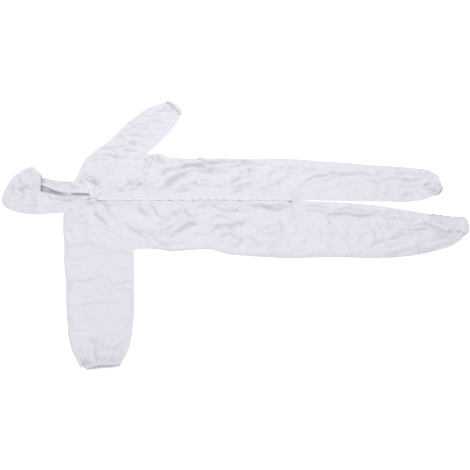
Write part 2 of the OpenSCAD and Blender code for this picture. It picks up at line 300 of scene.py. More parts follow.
def lay_out(edges, seams, step, fine_step=None, fine_places=(), guides=None):
    """A flat triangle layout inside a loop of edges, with the seams as lines of its mesh.

    Guides are lines that hold the cloth without parting it. Returns the points, their heights where
    a line gives one, the triangles, each line's points, and the mesh edges that part two panels.
    """
    spots = []
    number = {}
    sides = []
    lines = {}
    loop = []
    parting = set()
    for name, points in list(edges.items()) + list(seams.items()) + list((guides or {}).items()):
        middle = np.mean([p[:2] for p in points], axis=0)
        close = any(a < middle[0] < b and c < middle[1] < d for a, b, c, d in fine_places)
        ids = []
        for p in along(points, fine_step if close else step):
            key = (round(p[0] * 4000), round(p[1] * 4000))
            if key not in number:
                number[key] = len(spots)
                spots.append(p)
            ids.append(number[key])
        lines[name] = ids
        first = len(sides)
        sides += [(a, b) for a, b in zip(ids, ids[1:]) if a != b]
        if name in edges or name in seams:
            parting.update(range(first, len(sides)))
        if name in edges:
            loop += ids[:-1]
    spots = np.array(spots)
    outline = spots[loop]
    low, high = outline.min(0), outline.max(0)

    def rows(gap, left, right, bottom, top):
        row_gap = gap * math.sqrt(0.75)
        found = []
        for j in range(int((top - bottom) / row_gap) + 1):
            xs = np.arange(left + (gap / 2 if j % 2 else 0), right, gap)
            found.append(np.stack([xs, np.full(len(xs), bottom + j * row_gap)], 1))
        return np.vstack(found)

    field = rows(step, low[0], high[0], low[1], high[1])
    for a, b, c, d in fine_places:
        away = ~((field[:, 0] > a) & (field[:, 0] < b) & (field[:, 1] > c) & (field[:, 1] < d))
        field = np.vstack([field[away], rows(fine_step, a, b, c, d)])
    field = field[inside(field, outline)]
    tree = flat_tree(spots)
    reach = 0.55 * (fine_step or step)
    field = np.array([p for p in field if tree.find((p[0], p[1], 0))[2] > reach])
    asked = [Vector((p[0], p[1])) for p in spots] + [Vector((p[0], p[1])) for p in field]
    verts, links, faces, came_from, links_from, _ = delaunay_2d_cdt(asked, sides, [], 1, 1e-6)
    verts = np.array([tuple(v) for v in verts])
    faces = np.array(faces)
    faces = faces[inside(verts[faces].mean(1), outline)]
    corner = verts[faces]
    one, two = corner[:, 1] - corner[:, 0], corner[:, 2] - corner[:, 0]
    turned = one[:, 0] * two[:, 1] - one[:, 1] * two[:, 0] < 0
    faces[turned] = faces[turned][:, ::-1]
    used = np.unique(faces)
    place = np.full(len(verts), -1)
    place[used] = np.arange(len(used))
    now = {k: place[i] for i, olds in enumerate(came_from) for k in olds}
    lines = {n: [now[i] for i in ids if now.get(i, -1) >= 0] for n, ids in lines.items()}
    heights = np.full(len(used), np.nan)
    for i, p in enumerate(spots):
        if now.get(i, -1) >= 0 and p[2] > 0:
            heights[now[i]] = p[2]
    borders = {frozenset((place[a], place[b])) for (a, b), olds in zip(links, links_from)
               if parting.intersection(olds)}
    return verts[used], heights, place[faces], lines, borders


def fold_height(points, folds):
    """Height added by listed folds: each is (line, height, half width), valleys being negative.

    A fourth number is the spacing of puckers along the fold.
    """
    total = np.zeros(len(points))
    x, y = points[:, 0], points[:, 1]
    wander = np.stack([np.sin(61 * y + 1.3 * np.sin(23 * x)), np.sin(53 * x + 1.7 * np.sin(31 * y))], 1)
    points = points + 0.0045 * wander
    for line, height, half_width, *puckers in folds:
        line = np.array(line)
        nearest = np.full(len(points), 9.0)
        run = np.zeros(len(points))
        beyond = np.zeros(len(points))
        lengths = np.linalg.norm(np.diff(line, axis=0), axis=1)
        for i, (a, b) in enumerate(zip(line, line[1:])):
            t = np.clip(((points - a) @ (b - a)) / lengths[i] ** 2, 0, 1)
            gap = np.linalg.norm(points - a - t[:, None] * (b - a), axis=1)
            closer = gap < nearest
            nearest = np.where(closer, gap, nearest)
            run = np.where(closer, lengths[:i].sum() + t * lengths[i], run)
            off = (b - a)[0] * (points - a)[:, 1] - (b - a)[1] * (points - a)[:, 0]
            beyond = np.where(closer, np.sign(off) * (1 if b[0] > a[0] else -1), beyond)
        share = run / lengths.sum()
        taper = np.sin(math.pi * np.clip(0.06 + 0.88 * share, 0, 1)) ** 0.8
        if puckers:
            phase = run * 2 * math.pi / puckers[0] + 2 * np.sin(run * 60)
            taper = taper * (0.35 + 0.65 * np.sin(phase))
        steep = np.where(beyond * height < 0, 0.75, 1.3)
        wide = half_width * steep * (0.7 + 0.5 * share)
        total += height * taper * np.exp(-(nearest / wide) ** 2)
    return total


def gather_height(points, middle, out, half, reach, waves, height):
    """Height of gathers that run back from an elastic hem and die away over their reach."""
    out = np.array(out) / np.linalg.norm(out)
    back = -(points - np.array(middle)) @ out
    side = (points - np.array(middle)) @ np.array([-out[1], out[0]])
    spread = side / (half * (1 + 0.55 * np.clip(back / reach, 0, 1)))
    fade = np.clip(1 - back / reach, 0, 1) ** 1.5 * (back > -0.03) * (np.abs(spread) < 1.1)
    wave = np.sin(waves * math.pi * spread + 1.3 * np.sin(3.1 * spread + waves))
    return height * fade * wave * (1 + 0.5 * np.sin(5.3 * spread + 2 * waves))


def neighbours_mean(values, pairs, counts):
    """Mean of each point's neighbours."""
    total = np.zeros(len(values))
    np.add.at(total, pairs[:, 0], values[pairs[:, 1]])
    np.add.at(total, pairs[:, 1], values[pairs[:, 0]])
    return total / counts


def settle(flat, heights, faces, folds, spare, looseness, frames, seed, plump=0.014):
    """Drops the cloth on the layer below, held where a height is given. Returns its points.

    spare is each point's move in the flat to its uncreased place, looseness the even extra length.
    """
    held = ~np.isnan(heights)
    pairs = np.vstack([faces[:, [0, 1]], faces[:, [1, 2]], faces[:, [2, 0]]])
    pairs = np.unique(np.sort(pairs, 1), axis=0)
    counts = np.bincount(pairs.ravel(), minlength=len(flat))
    rise = np.where(held, heights, plump)
    for _ in range(260):
        rise = np.where(held, heights, neighbours_mean(rise, pairs, counts) + 0.000012)
    crumple = np.random.default_rng(seed).normal(0, 1, len(flat))
    for _ in range(14):
        crumple = 0.3 * crumple + 0.7 * neighbours_mean(crumple, pairs, counts)
    crumple *= 0.0011 / crumple.std()
    free = np.ones(len(flat))
    free[held] = 0
    near_held = free.copy()
    for _ in range(3):
        around = neighbours_mean(near_held, pairs, counts)
        near_held = np.minimum(free, 0.25 * near_held + 0.75 * around)
    rise = np.maximum(rise + near_held * (folds + crumple), 0.0035)
    rise[held] = heights[held]
    cloth = mesh_piece("cloth_to_settle", np.c_[flat, rise], faces)
    cloth.shape_key_add(name="laid")
    loose = cloth.shape_key_add(name="uncreased")
    loose.value = 0
    loose.data.foreach_set("co", np.c_[flat + spare, rise].ravel())
    cloth.vertex_groups.new(name="held").add(np.flatnonzero(held).tolist(), 1, "REPLACE")
    layer_below = mesh_piece("layer_below", [(-2, -2, 0), (2, -2, 0), (2, 2, 0), (-2, 2, 0)],
                             [(0, 1, 2, 3)])
    layer_below.modifiers.new("bump", "COLLISION")
    layer_below.collision.thickness_outer = 0.003
    layer_below.collision.cloth_friction = 20
    run = cloth.modifiers.new("settle", "CLOTH")
    run.settings.quality = 5
    run.settings.mass = 0.15
    run.settings.air_damping = 2
    run.settings.tension_stiffness = 30
    run.settings.compression_stiffness = 30
    run.settings.shear_stiffness = 12
    run.settings.bending_stiffness = 1.2
    run.settings.tension_damping = 10
    run.settings.compression_damping = 10
    run.settings.shear_damping = 8
    run.settings.bending_damping = 1
    run.settings.vertex_group_mass = "held"
    run.settings.rest_shape_key = loose
    run.settings.shrink_min = -looseness
    run.settings.shrink_max = -looseness
    run.settings.use_pressure = True
    run.settings.uniform_pressure_force = 0.25
    run.settings.effector_weights.gravity = 0.3
    run.collision_settings.distance_min = 0.003
    run.collision_settings.use_self_collision = False
    run.point_cache.frame_start = 1
    run.point_cache.frame_end = frames
    for now in range(1, frames + 1):
        bpy.context.scene.frame_set(now)
    result = cloth.evaluated_get(bpy.context.evaluated_depsgraph_get())
    places = np.empty(len(flat) * 3)
    result.data.vertices.foreach_get("co", places)
    bpy.context.scene.frame_set(1)
    for spent in (cloth, layer_below):
        mesh = spent.data
        bpy.data.objects.remove(spent)
        bpy.data.meshes.remove(mesh)
    return places.reshape(-1, 3)


side_fold = 0.0045
neck_right = (-0.703, -0.066, 0.007)
neck_left = (-0.700, 0.145, 0.014)
throat_right = (-0.574, 0.003, 0.0235)
throat_left = (-0.574, 0.017, 0.0235)
zip_foot_right = (0.240, 0.003, 0.0235)
zip_foot_left = (0.240, 0.017, 0.0235)
slit_end_right = (-0.611, 0.024, 0.023)
brow_right = (-0.822, 0.048, 0.030)
brow_left = (-0.843, 0.172, 0.030)
right_wrist = ((-0.466, -0.864, 0.009), (-0.356, -0.845, 0.009))
left_wrist = ((-0.268, 0.736, 0.012), (-0.348, 0.862, 0.012))
right_armpit = (-0.383, -0.297, 0.006)
left_armpit = (-0.405, 0.366, 0.012)
waist_x = -0.125
waist_right = (waist_x, -0.291, side_fold)
waist_left = (waist_x, 0.330, 0.012)
crotch = (0.264, 0.008, 0.016)
right_ankle = ((0.930, -0.206, 0.010), (0.812, -0.078, 0.009))
left_ankle = ((0.862, 0.046, 0.010), (0.908, 0.112, 0.012))
front_edges = {
    "right sleeve outer fold": [
        neck_right, (-0.681, -0.178, side_fold), (-0.658, -0.268, side_fold), (-0.641, -0.355, side_fold),
        (-0.620, -0.436, side_fold), (-0.601, -0.514, side_fold), (-0.586, -0.587, side_fold),
        (-0.568, -0.658, side_fold), (-0.551, -0.724, side_fold), (-0.526, -0.788, side_fold),
        (-0.499, -0.838, 0.007), (-0.485, -0.858, 0.008), right_wrist[0]],
    "right wrist": [right_wrist[0], (-0.445, -0.859, 0.0105), (-0.415, -0.854, 0.011),
                    (-0.380, -0.851, 0.0105), right_wrist[1]],
    "right sleeve inner fold": [
        right_wrist[1], (-0.345, -0.808, 0.006), (-0.338, -0.765, side_fold), (-0.337, -0.700, side_fold),
        (-0.341, -0.630, side_fold), (-0.350, -0.550, side_fold), (-0.359, -0.470, side_fold),
        (-0.369, -0.390, side_fold), (-0.377, -0.330, side_fold), right_armpit],
    "right side": [right_armpit, (-0.340, -0.288, side_fold), (-0.290, -0.293, side_fold),
                   (-0.235, -0.303, side_fold), (-0.180, -0.298, side_fold), waist_right],
    "right leg outer fold": [
        waist_right, (-0.080, -0.294, side_fold), (-0.030, -0.315, side_fold), (0.028, -0.327, side_fold),
        (0.110, -0.335, side_fold), (0.199, -0.343, side_fold), (0.314, -0.338, side_fold),
        (0.429, -0.338, side_fold), (0.542, -0.343, side_fold), (0.659, -0.333, side_fold),
        (0.730, -0.318, side_fold), (0.790, -0.298, side_fold), (0.845, -0.278, 0.006),
        (0.895, -0.242, 0.008), right_ankle[0]],
    "right ankle": [right_ankle[0], (0.902, -0.200, 0.020), (0.868, -0.176, 0.018),
                    (0.835, -0.140, 0.018), (0.815, -0.105, 0.014), right_ankle[1]],
    "right leg inner fold": [
        right_ankle[1], (0.700, -0.044, 0.007), (0.600, -0.018, 0.007), (0.500, -0.003, 0.007),
        (0.400, 0.004, 0.008), (0.320, 0.004, 0.012), crotch],
    "left leg inner fold": [crotch, (0.320, 0.012, 0.012), (0.420, 0.014, 0.008), (0.550, 0.014, 0.006),
                            (0.680, 0.008, 0.006), (0.760, 0.010, 0.006), (0.815, 0.022, 0.008),
                            left_ankle[0]],
    "left ankle": [left_ankle[0], (0.888, 0.075, 0.0115), left_ankle[1]],
    "left leg outer fold": [
        left_ankle[1], (0.914, 0.150, 0.012), (0.912, 0.195, 0.010), (0.893, 0.228, 0.008),
        (0.860, 0.247, 0.008), (0.800, 0.258, 0.008), (0.713, 0.272, 0.008), (0.620, 0.282, 0.008),
        (0.512, 0.299, 0.008), (0.400, 0.312, 0.008), (0.308, 0.324, 0.010), (0.200, 0.330, 0.010),
        (0.080, 0.325, 0.010), (-0.040, 0.330, 0.012), waist_left],
    "left side": [waist_left, (-0.190, 0.326, 0.012), (-0.245, 0.332, 0.012), (-0.300, 0.342, 0.012),
                  (-0.335, 0.360, 0.016), (-0.365, 0.362, 0.012), left_armpit],
    "left sleeve inner fold": [
        left_armpit, (-0.380, 0.415, 0.010), (-0.346, 0.480, 0.008), (-0.318, 0.553, 0.008),
        (-0.290, 0.628, 0.008), (-0.272, 0.696, 0.008), left_wrist[0]],
    "left wrist": [left_wrist[0], (-0.286, 0.784, 0.020), (-0.314, 0.826, 0.020), left_wrist[1]],
    "left sleeve outer fold": [
        left_wrist[1], (-0.391, 0.838, 0.010), (-0.456, 0.785, 0.008), (-0.505, 0.700, 0.008),
        (-0.543, 0.625, 0.008), (-0.570, 0.548, 0.008), (-0.603, 0.475, 0.008), (-0.647, 0.405, 0.008),
        (-0.679, 0.338, 0.008), (-0.691, 0.270, 0.008), (-0.694, 0.205, 0.010), neck_left],
    "left neck outer": [neck_left, (-0.665, 0.115, 0.020), (-0.624, 0.079, 0.021), (-0.590, 0.044, 0.022)],
    "left neck inner": [(-0.590, 0.044, 0.022), throat_left],
    "zip left": [throat_left, zip_foot_left],
    "zip foot": [zip_foot_left, (0.243, 0.010, 0.0235), zip_foot_right],
    "zip right": [zip_foot_right, throat_right],
    "throat right": [throat_right, (-0.588, 0.0100, 0.0246), (-0.601, 0.0150, 0.0240), slit_end_right],
    "face right": [slit_end_right, (-0.640, 0.026, 0.022), (-0.680, 0.028, 0.021), (-0.720, 0.031, 0.0205),
                   (-0.757, 0.036, 0.0225), (-0.795, 0.044, 0.026), brow_right],
    "brow": [brow_right, (-0.827, 0.083, 0.034), (-0.836, 0.125, 0.037), brow_left],
    "crown fold": [
        brow_left, (-0.850, 0.190, 0.024), (-0.862, 0.206, 0.020), (-0.886, 0.238, 0.016),
        (-0.906, 0.258, 0.014), (-0.930, 0.248, 0.014), (-0.950, 0.226, 0.014), (-0.965, 0.200, 0.014),
        (-0.977, 0.164, 0.014), (-0.984, 0.105, 0.013), (-0.986, 0.045, 0.010), (-0.977, 0.005, 0.007),
        (-0.954, -0.027, 0.005), (-0.925, -0.048, 0.005), (-0.882, -0.066, 0.005),
        (-0.838, -0.075, 0.005), (-0.797, -0.076, 0.005), (-0.757, -0.070, 0.005), neck_right],
}
front_seams = {
    "right neck outer": [neck_right, (-0.676, -0.061), (-0.645, -0.044), (-0.618, -0.026),
                         (-0.596, -0.010)],
    "right neck inner": [(-0.596, -0.010), throat_right],
    "right raglan": [(-0.596, -0.010), (-0.575, -0.075), (-0.544, -0.143), (-0.512, -0.174),
                     (-0.474, -0.210), (-0.432, -0.254), right_armpit],
    "left raglan": [(-0.590, 0.044, 0.022), (-0.560, 0.046), (-0.533, 0.056), (-0.509, 0.086),
                    (-0.482, 0.117), (-0.450, 0.140), (-0.419, 0.170), (-0.400, 0.215), (-0.397, 0.290),
                    left_armpit],
    "right waist": [waist_right, (waist_x, -0.150), (waist_x, -0.013, 0.0282), (waist_x, 0.003, 0.0235)],
    "left waist": [(waist_x, 0.017, 0.0235), (waist_x, 0.0300, 0.0270), (waist_x, 0.0370, 0.0298),
                   (waist_x, 0.150), waist_left],
    "crotch seam": [(0.243, 0.010, 0.0235), crotch],
    "hood seam": [brow_right, (-0.850, 0.018), (-0.885, -0.015), (-0.925, -0.048, 0.005)],
}
front_guides = {
    "under flap": [(-0.540, -0.008, 0.0268), (-0.500, -0.013, 0.0282), (-0.350, -0.014, 0.0284),
                   (-0.250, -0.015, 0.0280), (-0.125, -0.013, 0.0282), (0.000, -0.015, 0.0280),
                   (0.050, -0.014, 0.0284), (0.150, -0.014, 0.0280), (0.225, -0.011, 0.0276)],
    "flap seam": [(-0.555, 0.034, 0.0280), (-0.535, 0.037, 0.0300), (-0.300, 0.0375, 0.0304),
                  (-0.125, 0.0370, 0.0298), (0.100, 0.0375, 0.0302), (0.240, 0.0370, 0.0285)],
    "flap tuck": [(-0.545, 0.0295, 0.0272), (-0.300, 0.0300, 0.0272), (-0.125, 0.0300, 0.0270),
                  (0.100, 0.0300, 0.0272), (0.240, 0.0300, 0.0265)],
}
fine_places = [(-0.50, -0.33, -0.87, -0.76), (-0.38, -0.24, 0.73, 0.88), (0.80, 0.96, -0.26, -0.06),
               (0.83, 0.93, 0.02, 0.25), (-0.16, -0.09, -0.31, 0.34), (-0.72, -0.56, -0.09, 0.06)]
flat, heights, faces, lines, front_borders = lay_out(front_edges, front_seams, 0.0064, 0.0044,
                                                     fine_places, front_guides)

folds_in_mm = [
    # strain lines that fan from the throat over the chest and shoulders
    ([(-553, -15), (-510, -85), (-464, -132)], -10, 13),
    ([(-575, -30), (-535, -110), (-500, -150)], 7, 12),
    ([(-560, 30), (-555, 86), (-545, 130)], -9, 11),
    ([(-590, 60), (-590, 120), (-575, 170)], 7, 14),
    ([(-640, 100), (-655, 150), (-650, 185)], 8, 11),
    ([(-665, 140), (-680, 180), (-672, 230)], -7, 10),
    ([(-530, 35), (-465, 86), (-411, 150), (-370, 215)], -11, 13),
    ([(-540, 60), (-475, 105), (-425, 170)], 9, 13),
    ([(-440, 40), (-358, 93), (-305, 230)], 10, 18),
    ([(-350, 150), (-310, 205), (-250, 245), (-180, 262)], -6, 14),
    ([(-350, 190), (-300, 232), (-215, 268), (-110, 285)], 6, 16),
    ([(-270, 60), (-200, 130), (-110, 175)], 10, 20),
    # the hood's puckered seam stands over the shoulder
    ([(-700, -74), (-672, -66), (-640, -49), (-618, -34)], -6, 4.5, 30),
    ([(-700, -58), (-672, -50), (-640, -34), (-612, -16), (-592, -2)], 6, 5, 16),
    ([(-700, -90), (-668, -82), (-636, -64), (-606, -42)], 4, 6, 22),
    ([(-480, 52), (-400, 85), (-340, 135)], -10, 11),
    ([(-500, 75), (-420, 112), (-360, 165)], 9, 11),
    ([(-335, 45), (-285, 95), (-240, 155), (-195, 205), (-150, 225)], -10.5, 13),
    ([(-330, 78), (-285, 132), (-240, 188), (-190, 232)], 12, 13),
    ([(-250, 55), (-190, 85), (-150, 110)], -8, 10),
    ([(-225, 250), (-150, 262), (-70, 258)], -10, 11),
    ([(-240, 285), (-150, 292), (-50, 286)], 9, 10),
    ([(-160, 205), (-90, 215), (-20, 208)], -8, 10),
    ([(-150, 230), (-80, 238), (0, 232)], 8, 10),
    ([(-150, 130), (-90, 120), (-40, 130)], 7, 10),
    ([(-665, 168), (-630, 148), (-590, 112), (-565, 75)], -11, 9),
    ([(-655, 190), (-610, 165), (-575, 125)], 9, 10),
    ([(-545, 85), (-520, 140), (-500, 200)], -7, 10),
    ([(-600, 200), (-560, 230), (-510, 260)], -8, 10),
    ([(-620, 225), (-575, 258), (-520, 290)], 8, 10),
    ([(-625, -30), (-592, -12), (-555, -8)], 7, 12),
    # bunched cloth under the left arm
    ([(-395, 350), (-360, 300), (-350, 250)], -10, 12),
    ([(-350, 350), (-330, 300), (-300, 270)], 12, 12),
    ([(-405, 335), (-385, 270), (-395, 200)], 9, 13),
    ([(-300, 320), (-270, 290), (-200, 300)], -8, 12),
    # crossed folds on the right chest
    ([(-386, -150), (-327, -220), (-284, -262), (-261, -296)], -11, 12),
    ([(-430, -150), (-350, -215), (-305, -270)], 9, 14),
    ([(-290, -222), (-250, -170), (-207, -112)], -14, 13),
    ([(-215, -118), (-170, -98), (-130, -92)], -6, 12),
    ([(-310, -170), (-250, -90), (-200, -60)], 11, 16),
    ([(-250, -220), (-200, -160), (-150, -130)], 11, 16),
    ([(-242, -27), (-190, -80), (-133, -130)], -9, 11),
    ([(-345, -25), (-320, -80), (-300, -105)], -10, 12),
    ([(-385, -20), (-370, -60), (-350, -90)], 8, 14),
    ([(-300, -250), (-240, -265), (-180, -240)], 9, 14),
    # below the waist
    ([(-75, -40), (-10, -75), (70, -70)], -10, 14),
    ([(-80, -160), (0, -150), (70, -110), (130, -105)], 11, 18),
    ([(-60, -225), (-10, -200), (20, -240), (10, -290)], 10, 14),
    ([(-20, -160), (10, -195), (15, -230)], -10, 12),
    ([(50, -200), (80, -260), (120, -300)], -7, 15),
    ([(140, -90), (190, -150), (180, -220)], 8, 20),
    ([(20, 75), (75, 150), (129, 200), (298, 206)], -13, 24),
    ([(-40, 90), (0, 150), (50, 215), (110, 250)], 11, 18),
    ([(90, 60), (150, 120), (230, 150)], 10, 20),
    ([(-20, 52), (50, 78), (110, 130), (170, 170)], -13, 14),
    ([(-30, 82), (35, 110), (90, 160), (150, 205)], 12, 14),
    ([(20, 235), (35, 205), (30, 170)], -8, 10),
    ([(60, 240), (70, 205), (60, 175)], 7, 10),
    ([(130, 50), (210, 75), (300, 80)], -8, 12),
    ([(180, 265), (290, 262), (400, 250)], 8, 12),
    ([(200, 240), (300, 236), (400, 224)], -8, 12),
    ([(-80, 230), (30, 270), (150, 280)], -7, 14),
    ([(-100, 285), (10, 300), (120, 305)], 7, 10),
    ([(-110, -110), (-60, -100), (-20, -120), (30, -125)], -9, 10),
    ([(-105, -200), (-60, -180), (-30, -190)], -8, 10),
    ([(60, -140), (110, -170), (170, -160), (230, -190)], 9, 13),
    ([(80, -180), (130, -205), (200, -200)], -9, 12),
    ([(100, -45), (180, -60), (250, -50)], -8, 11),
    ([(60, -30), (130, -36), (200, -32)], 7, 9),
    # right leg: one long crease beside the inner fold, crumples from thigh to knee
    ([(262, -15), (320, -52), (399, -78), (522, -87), (642, -100),
      (722, -111), (800, -122)], 10, 9),
    ([(300, -22), (400, -52), (522, -62), (642, -84), (722, -96)], -9, 12),
    ([(470, -150), (510, -200), (500, -260)], -8, 14),
    ([(500, -140), (560, -190), (540, -270)], 9, 14),
    ([(580, -120), (610, -170), (650, -180)], -9, 12),
    ([(560, -250), (610, -235), (670, -200)], 9, 12),
    ([(600, -290), (650, -260), (690, -270)], -7, 12),
    ([(690, -150), (780, -152), (860, -190), (905, -208)], 10, 9),
    ([(680, -180), (780, -182), (850, -206), (905, -222)], -8, 8),
    ([(760, -215), (820, -225), (880, -232)], 8, 8),
    ([(760, -240), (820, -243), (870, -246)], -5, 6),
    ([(560, -318), (700, -300), (800, -276), (870, -250)], 10, 11),
    ([(330, -130), (370, -200), (350, -280)], -6, 18),
    # left leg: a long crease down the middle, a crumpled patch above the ankle
    ([(294, 145), (370, 190), (432, 206), (553, 215), (650, 205)], 10, 13),
    ([(330, 130), (440, 170), (553, 180)], -8, 16),
    ([(553, 150), (620, 135), (700, 140)], -8, 12),
    ([(590, 185), (615, 120), (625, 71)], 8, 11),
    ([(640, 175), (720, 170), (800, 165), (867, 160)], 9, 11),
    ([(640, 65), (720, 55), (800, 65)], 7, 10),
    ([(700, 210), (780, 205), (850, 195)], -8, 11),
    ([(740, 110), (800, 105), (850, 110)], -7, 12),
    # right sleeve: soft folds across, and the doubled seam allowance beside the inner fold
    ([(-640, -290), (-560, -250), (-480, -290), (-420, -300)], 7, 20),
    ([(-620, -370), (-520, -330), (-440, -350)], -5, 18),
    ([(-590, -480), (-500, -440), (-420, -450)], 5, 18),
    ([(-450, -500), (-400, -485), (-370, -480)], -5, 12),
    ([(-560, -610), (-480, -580), (-400, -575)], -4, 16),
    ([(-352, -480), (-346, -640), (-350, -760)], 6, 8),
    ([(-660, -150), (-600, -140), (-560, -170)], -8, 12),
    ([(-680, -110), (-620, -100), (-590, -120)], 7, 10),
    ([(-474, -735), (-464, -775), (-437, -835)], -7, 10),
    ([(-455, -720), (-440, -770), (-418, -835)], 9, 11),
    ([(-500, -760), (-485, -800), (-460, -840)], 7, 10),
    ([(-366, -745), (-371, -785), (-382, -835)], -9, 9),
    ([(-400, -740), (-398, -790), (-400, -838)], 7, 11),
    # the hood's soft folds
    ([(-930, 180), (-900, 120), (-860, 150)], 8, 14),
    ([(-955, 110), (-930, 50), (-945, -10)], 7, 12),
    ([(-925, 120), (-905, 50), (-925, -20)], -8, 12),
    ([(-900, 75), (-870, 70), (-840, 80)], -6, 10),
    ([(-800, -30), (-740, -20), (-680, -10), (-620, 5)], 6, 8),
    ([(-780, -55), (-720, -45), (-650, -20)], -6, 7),
    ([(-780, 10), (-720, 5), (-650, 12)], -6, 7),
    ([(-872, -28), (-850, -30), (-828, -34)], -9, 7),
    ([(-835, 60), (-846, 105), (-856, 150)], -5, 6),
    ([(-900, 80), (-905, 100), (-890, 110)], 20, 60),
]
folds = [([(x / 1000, y / 1000) for x, y in line], *(size / 1000 for size in sizes))
         for line, *sizes in folds_in_mm]
# the left sleeve is pushed up, so it is crossed by many short creases
crease_dice = np.random.default_rng(11)
for row in range(17):
    up_arm = row + crease_dice.uniform(-0.3, 0.3)
    middle = np.array([-0.560, 0.330]) + up_arm * np.array([0.0125, 0.0285])
    lean = math.radians(crease_dice.uniform(-12, 16))
    half = crease_dice.uniform(0.05, 0.10)
    shift = crease_dice.uniform(-0.04, 0.04)
    across = np.array([math.cos(lean), math.sin(lean)])
    bow = np.array([0.0, crease_dice.uniform(-0.012, 0.012)])
    line = [middle + across * (shift - half), middle + across * shift + bow,
            middle + across * (shift + half)]
    folds.append((line, (0.0062 if row % 2 else -0.0055), crease_dice.uniform(0.007, 0.012)))
height_of_folds = fold_height(flat, folds)
# fine, crisp creases all over, from the suit's packing; the right sleeve is smoother
crisp = np.array([abs(noise.noise(Vector((x * 11, y * 15, 3.1))))
                  + 0.5 * abs(noise.noise(Vector((x * 29, y * 36, 7.7)))) for x, y in flat])
calm = np.where((flat[:, 0] < -0.34) & (flat[:, 1] < -0.24), 0.25, 1.0)
height_of_folds += 0.0042 * calm * np.exp(-(crisp / 0.16) ** 2)
# gathers that run back from the elastics at the right cuff, left cuff, left ankle and right ankle
height_of_folds += gather_height(flat, (-0.416, -0.848), (0.10, -1.0), 0.060, 0.050, 9, 0.0055)
height_of_folds += gather_height(flat, (-0.308, 0.799), (0.84, 0.54), 0.075, 0.055, 7, 0.0060)
height_of_folds += gather_height(flat, (0.885, 0.079), (0.80, -0.60), 0.045, 0.085, 5, 0.0095)
height_of_folds += fold_height(flat, [([(0.838, 0.105), (0.850, 0.120), (0.868, 0.128)], -0.013, 0.007),
                                      ([(0.845, 0.085), (0.858, 0.100), (0.872, 0.104)], 0.010, 0.007)])
height_of_folds += gather_height(flat, (0.872, -0.150), (0.70, 0.70), 0.080, 0.035, 8, 0.0035)
# the wearer's left side of the body is the most rumpled, and the left leg the least
busy = (flat[:, 1] > 0.035) & (flat[:, 0] > -0.69) & (flat[:, 0] < 0.10)
height_of_folds *= np.where(busy, 1.45, 1.0)
far_leg = (flat[:, 1] > 0.02) & (flat[:, 0] > 0.20)
height_of_folds *= np.where(far_leg, 0.82, 1.0)
# the waist elastic flattens the folds that cross it, and puckers its seam
from_waist = flat[:, 0] - waist_x
height_of_folds *= 1 - 0.2 * np.exp(-(from_waist / 0.012) ** 2)
pucker = np.sin(flat[:, 1] / 0.0066 + 2.2 * np.sin(flat[:, 1] / 0.031) + 1.5)
height_of_folds += 0.0016 * np.exp(-(from_waist / 0.026) ** 2) * pucker

# cloth to spare: across the body at the waist elastic, and along the pushed-up left sleeve
spare = np.zeros_like(flat)
spare[:, 1] += 0.10 * (flat[:, 1] - 0.01) * np.exp(-(from_waist / 0.030) ** 2)
up_sleeve = np.clip(((flat[:, 1] - 0.42) * 0.88 + (flat[:, 0] + 0.50) * 0.47) / 0.38, -0.5, 1)
on_left_sleeve = (flat[:, 1] > 0.30) & (flat[:, 0] < -0.25)
spare += np.where(on_left_sleeve, 0.030 * up_sleeve, 0)[:, None] * np.array([0.47, 0.88])
frames = 30
settled = settle(flat, heights, faces, height_of_folds * 0.9, spare, 0.016, frames, seed=7)
# the cloth irons out long folds as it settles, so a part of their height is laid back on
held_tree = flat_tree(flat[~np.isnan(heights)])
from_held = np.array([held_tree.find((x, y, 0))[2] for x, y in flat])
settled[:, 2] += 0.30 * height_of_folds * (1 - np.exp(-(from_held / 0.016) ** 2))
settled[:, 2] = np.maximum(settled[:, 2], np.where(from_held < 0.004, 0, 0.0042))
# beside the flap the cloth lies low, so that the flap has room when it is turned back
beside_flap = (flat[:, 1] > 0.039) & (flat[:, 0] > -0.56) & (flat[:, 0] < 0.25)
room = np.where(beside_flap, 0.0298 + 0.5 * np.maximum(flat[:, 1] - 0.046, 0), 1)
settled[:, 2] = np.minimum(settled[:, 2], room)


def sides_of(faces, seam):
    """A number for each triangle that is shared by the triangles on one side of the seams."""
    meets = {}
    for i, (a, b, c) in enumerate(faces.tolist()):
        for pair in (frozenset((a, b)), frozenset((b, c)), frozenset((c, a))):
            if pair not in seam:
                meets.setdefault(pair, []).append(i)
    touching = [[] for _ in faces]
    for pair in meets.values():
        if len(pair) == 2:
            touching[pair[0]].append(pair[1])
            touching[pair[1]].append(pair[0])
    side = np.full(len(faces), -1)
    for first in range(len(faces)):
        if side[first] >= 0:
            continue
        side[first] = first
        waiting = [first]
        while waiting:
            for other in touching[waiting.pop()]:
                if side[other] < 0:
                    side[other] = first
                    waiting.append(other)
    return side


def parter(flat, faces, borders, points):
    """A function that cuts one panel out of a sewn layer."""
    side = sides_of(faces, borders)
    middles = flat[faces].mean(1)

    def part(spot, grain=0.0):
        """The panel round a spot of the layout: its points, triangles and place on its own cloth."""
        here = side[np.argmin(((middles - spot) ** 2).sum(1))]
        used, own = np.unique(faces[side == here], return_inverse=True)
        turn = math.radians(grain)
        way = np.array([[math.cos(turn), -math.sin(turn)], [math.sin(turn), math.cos(turn)]])
        return points[used], own.reshape(-1, 3), flat[used] @ way

    return part


front_part = parter(flat, faces, front_borders, settled)


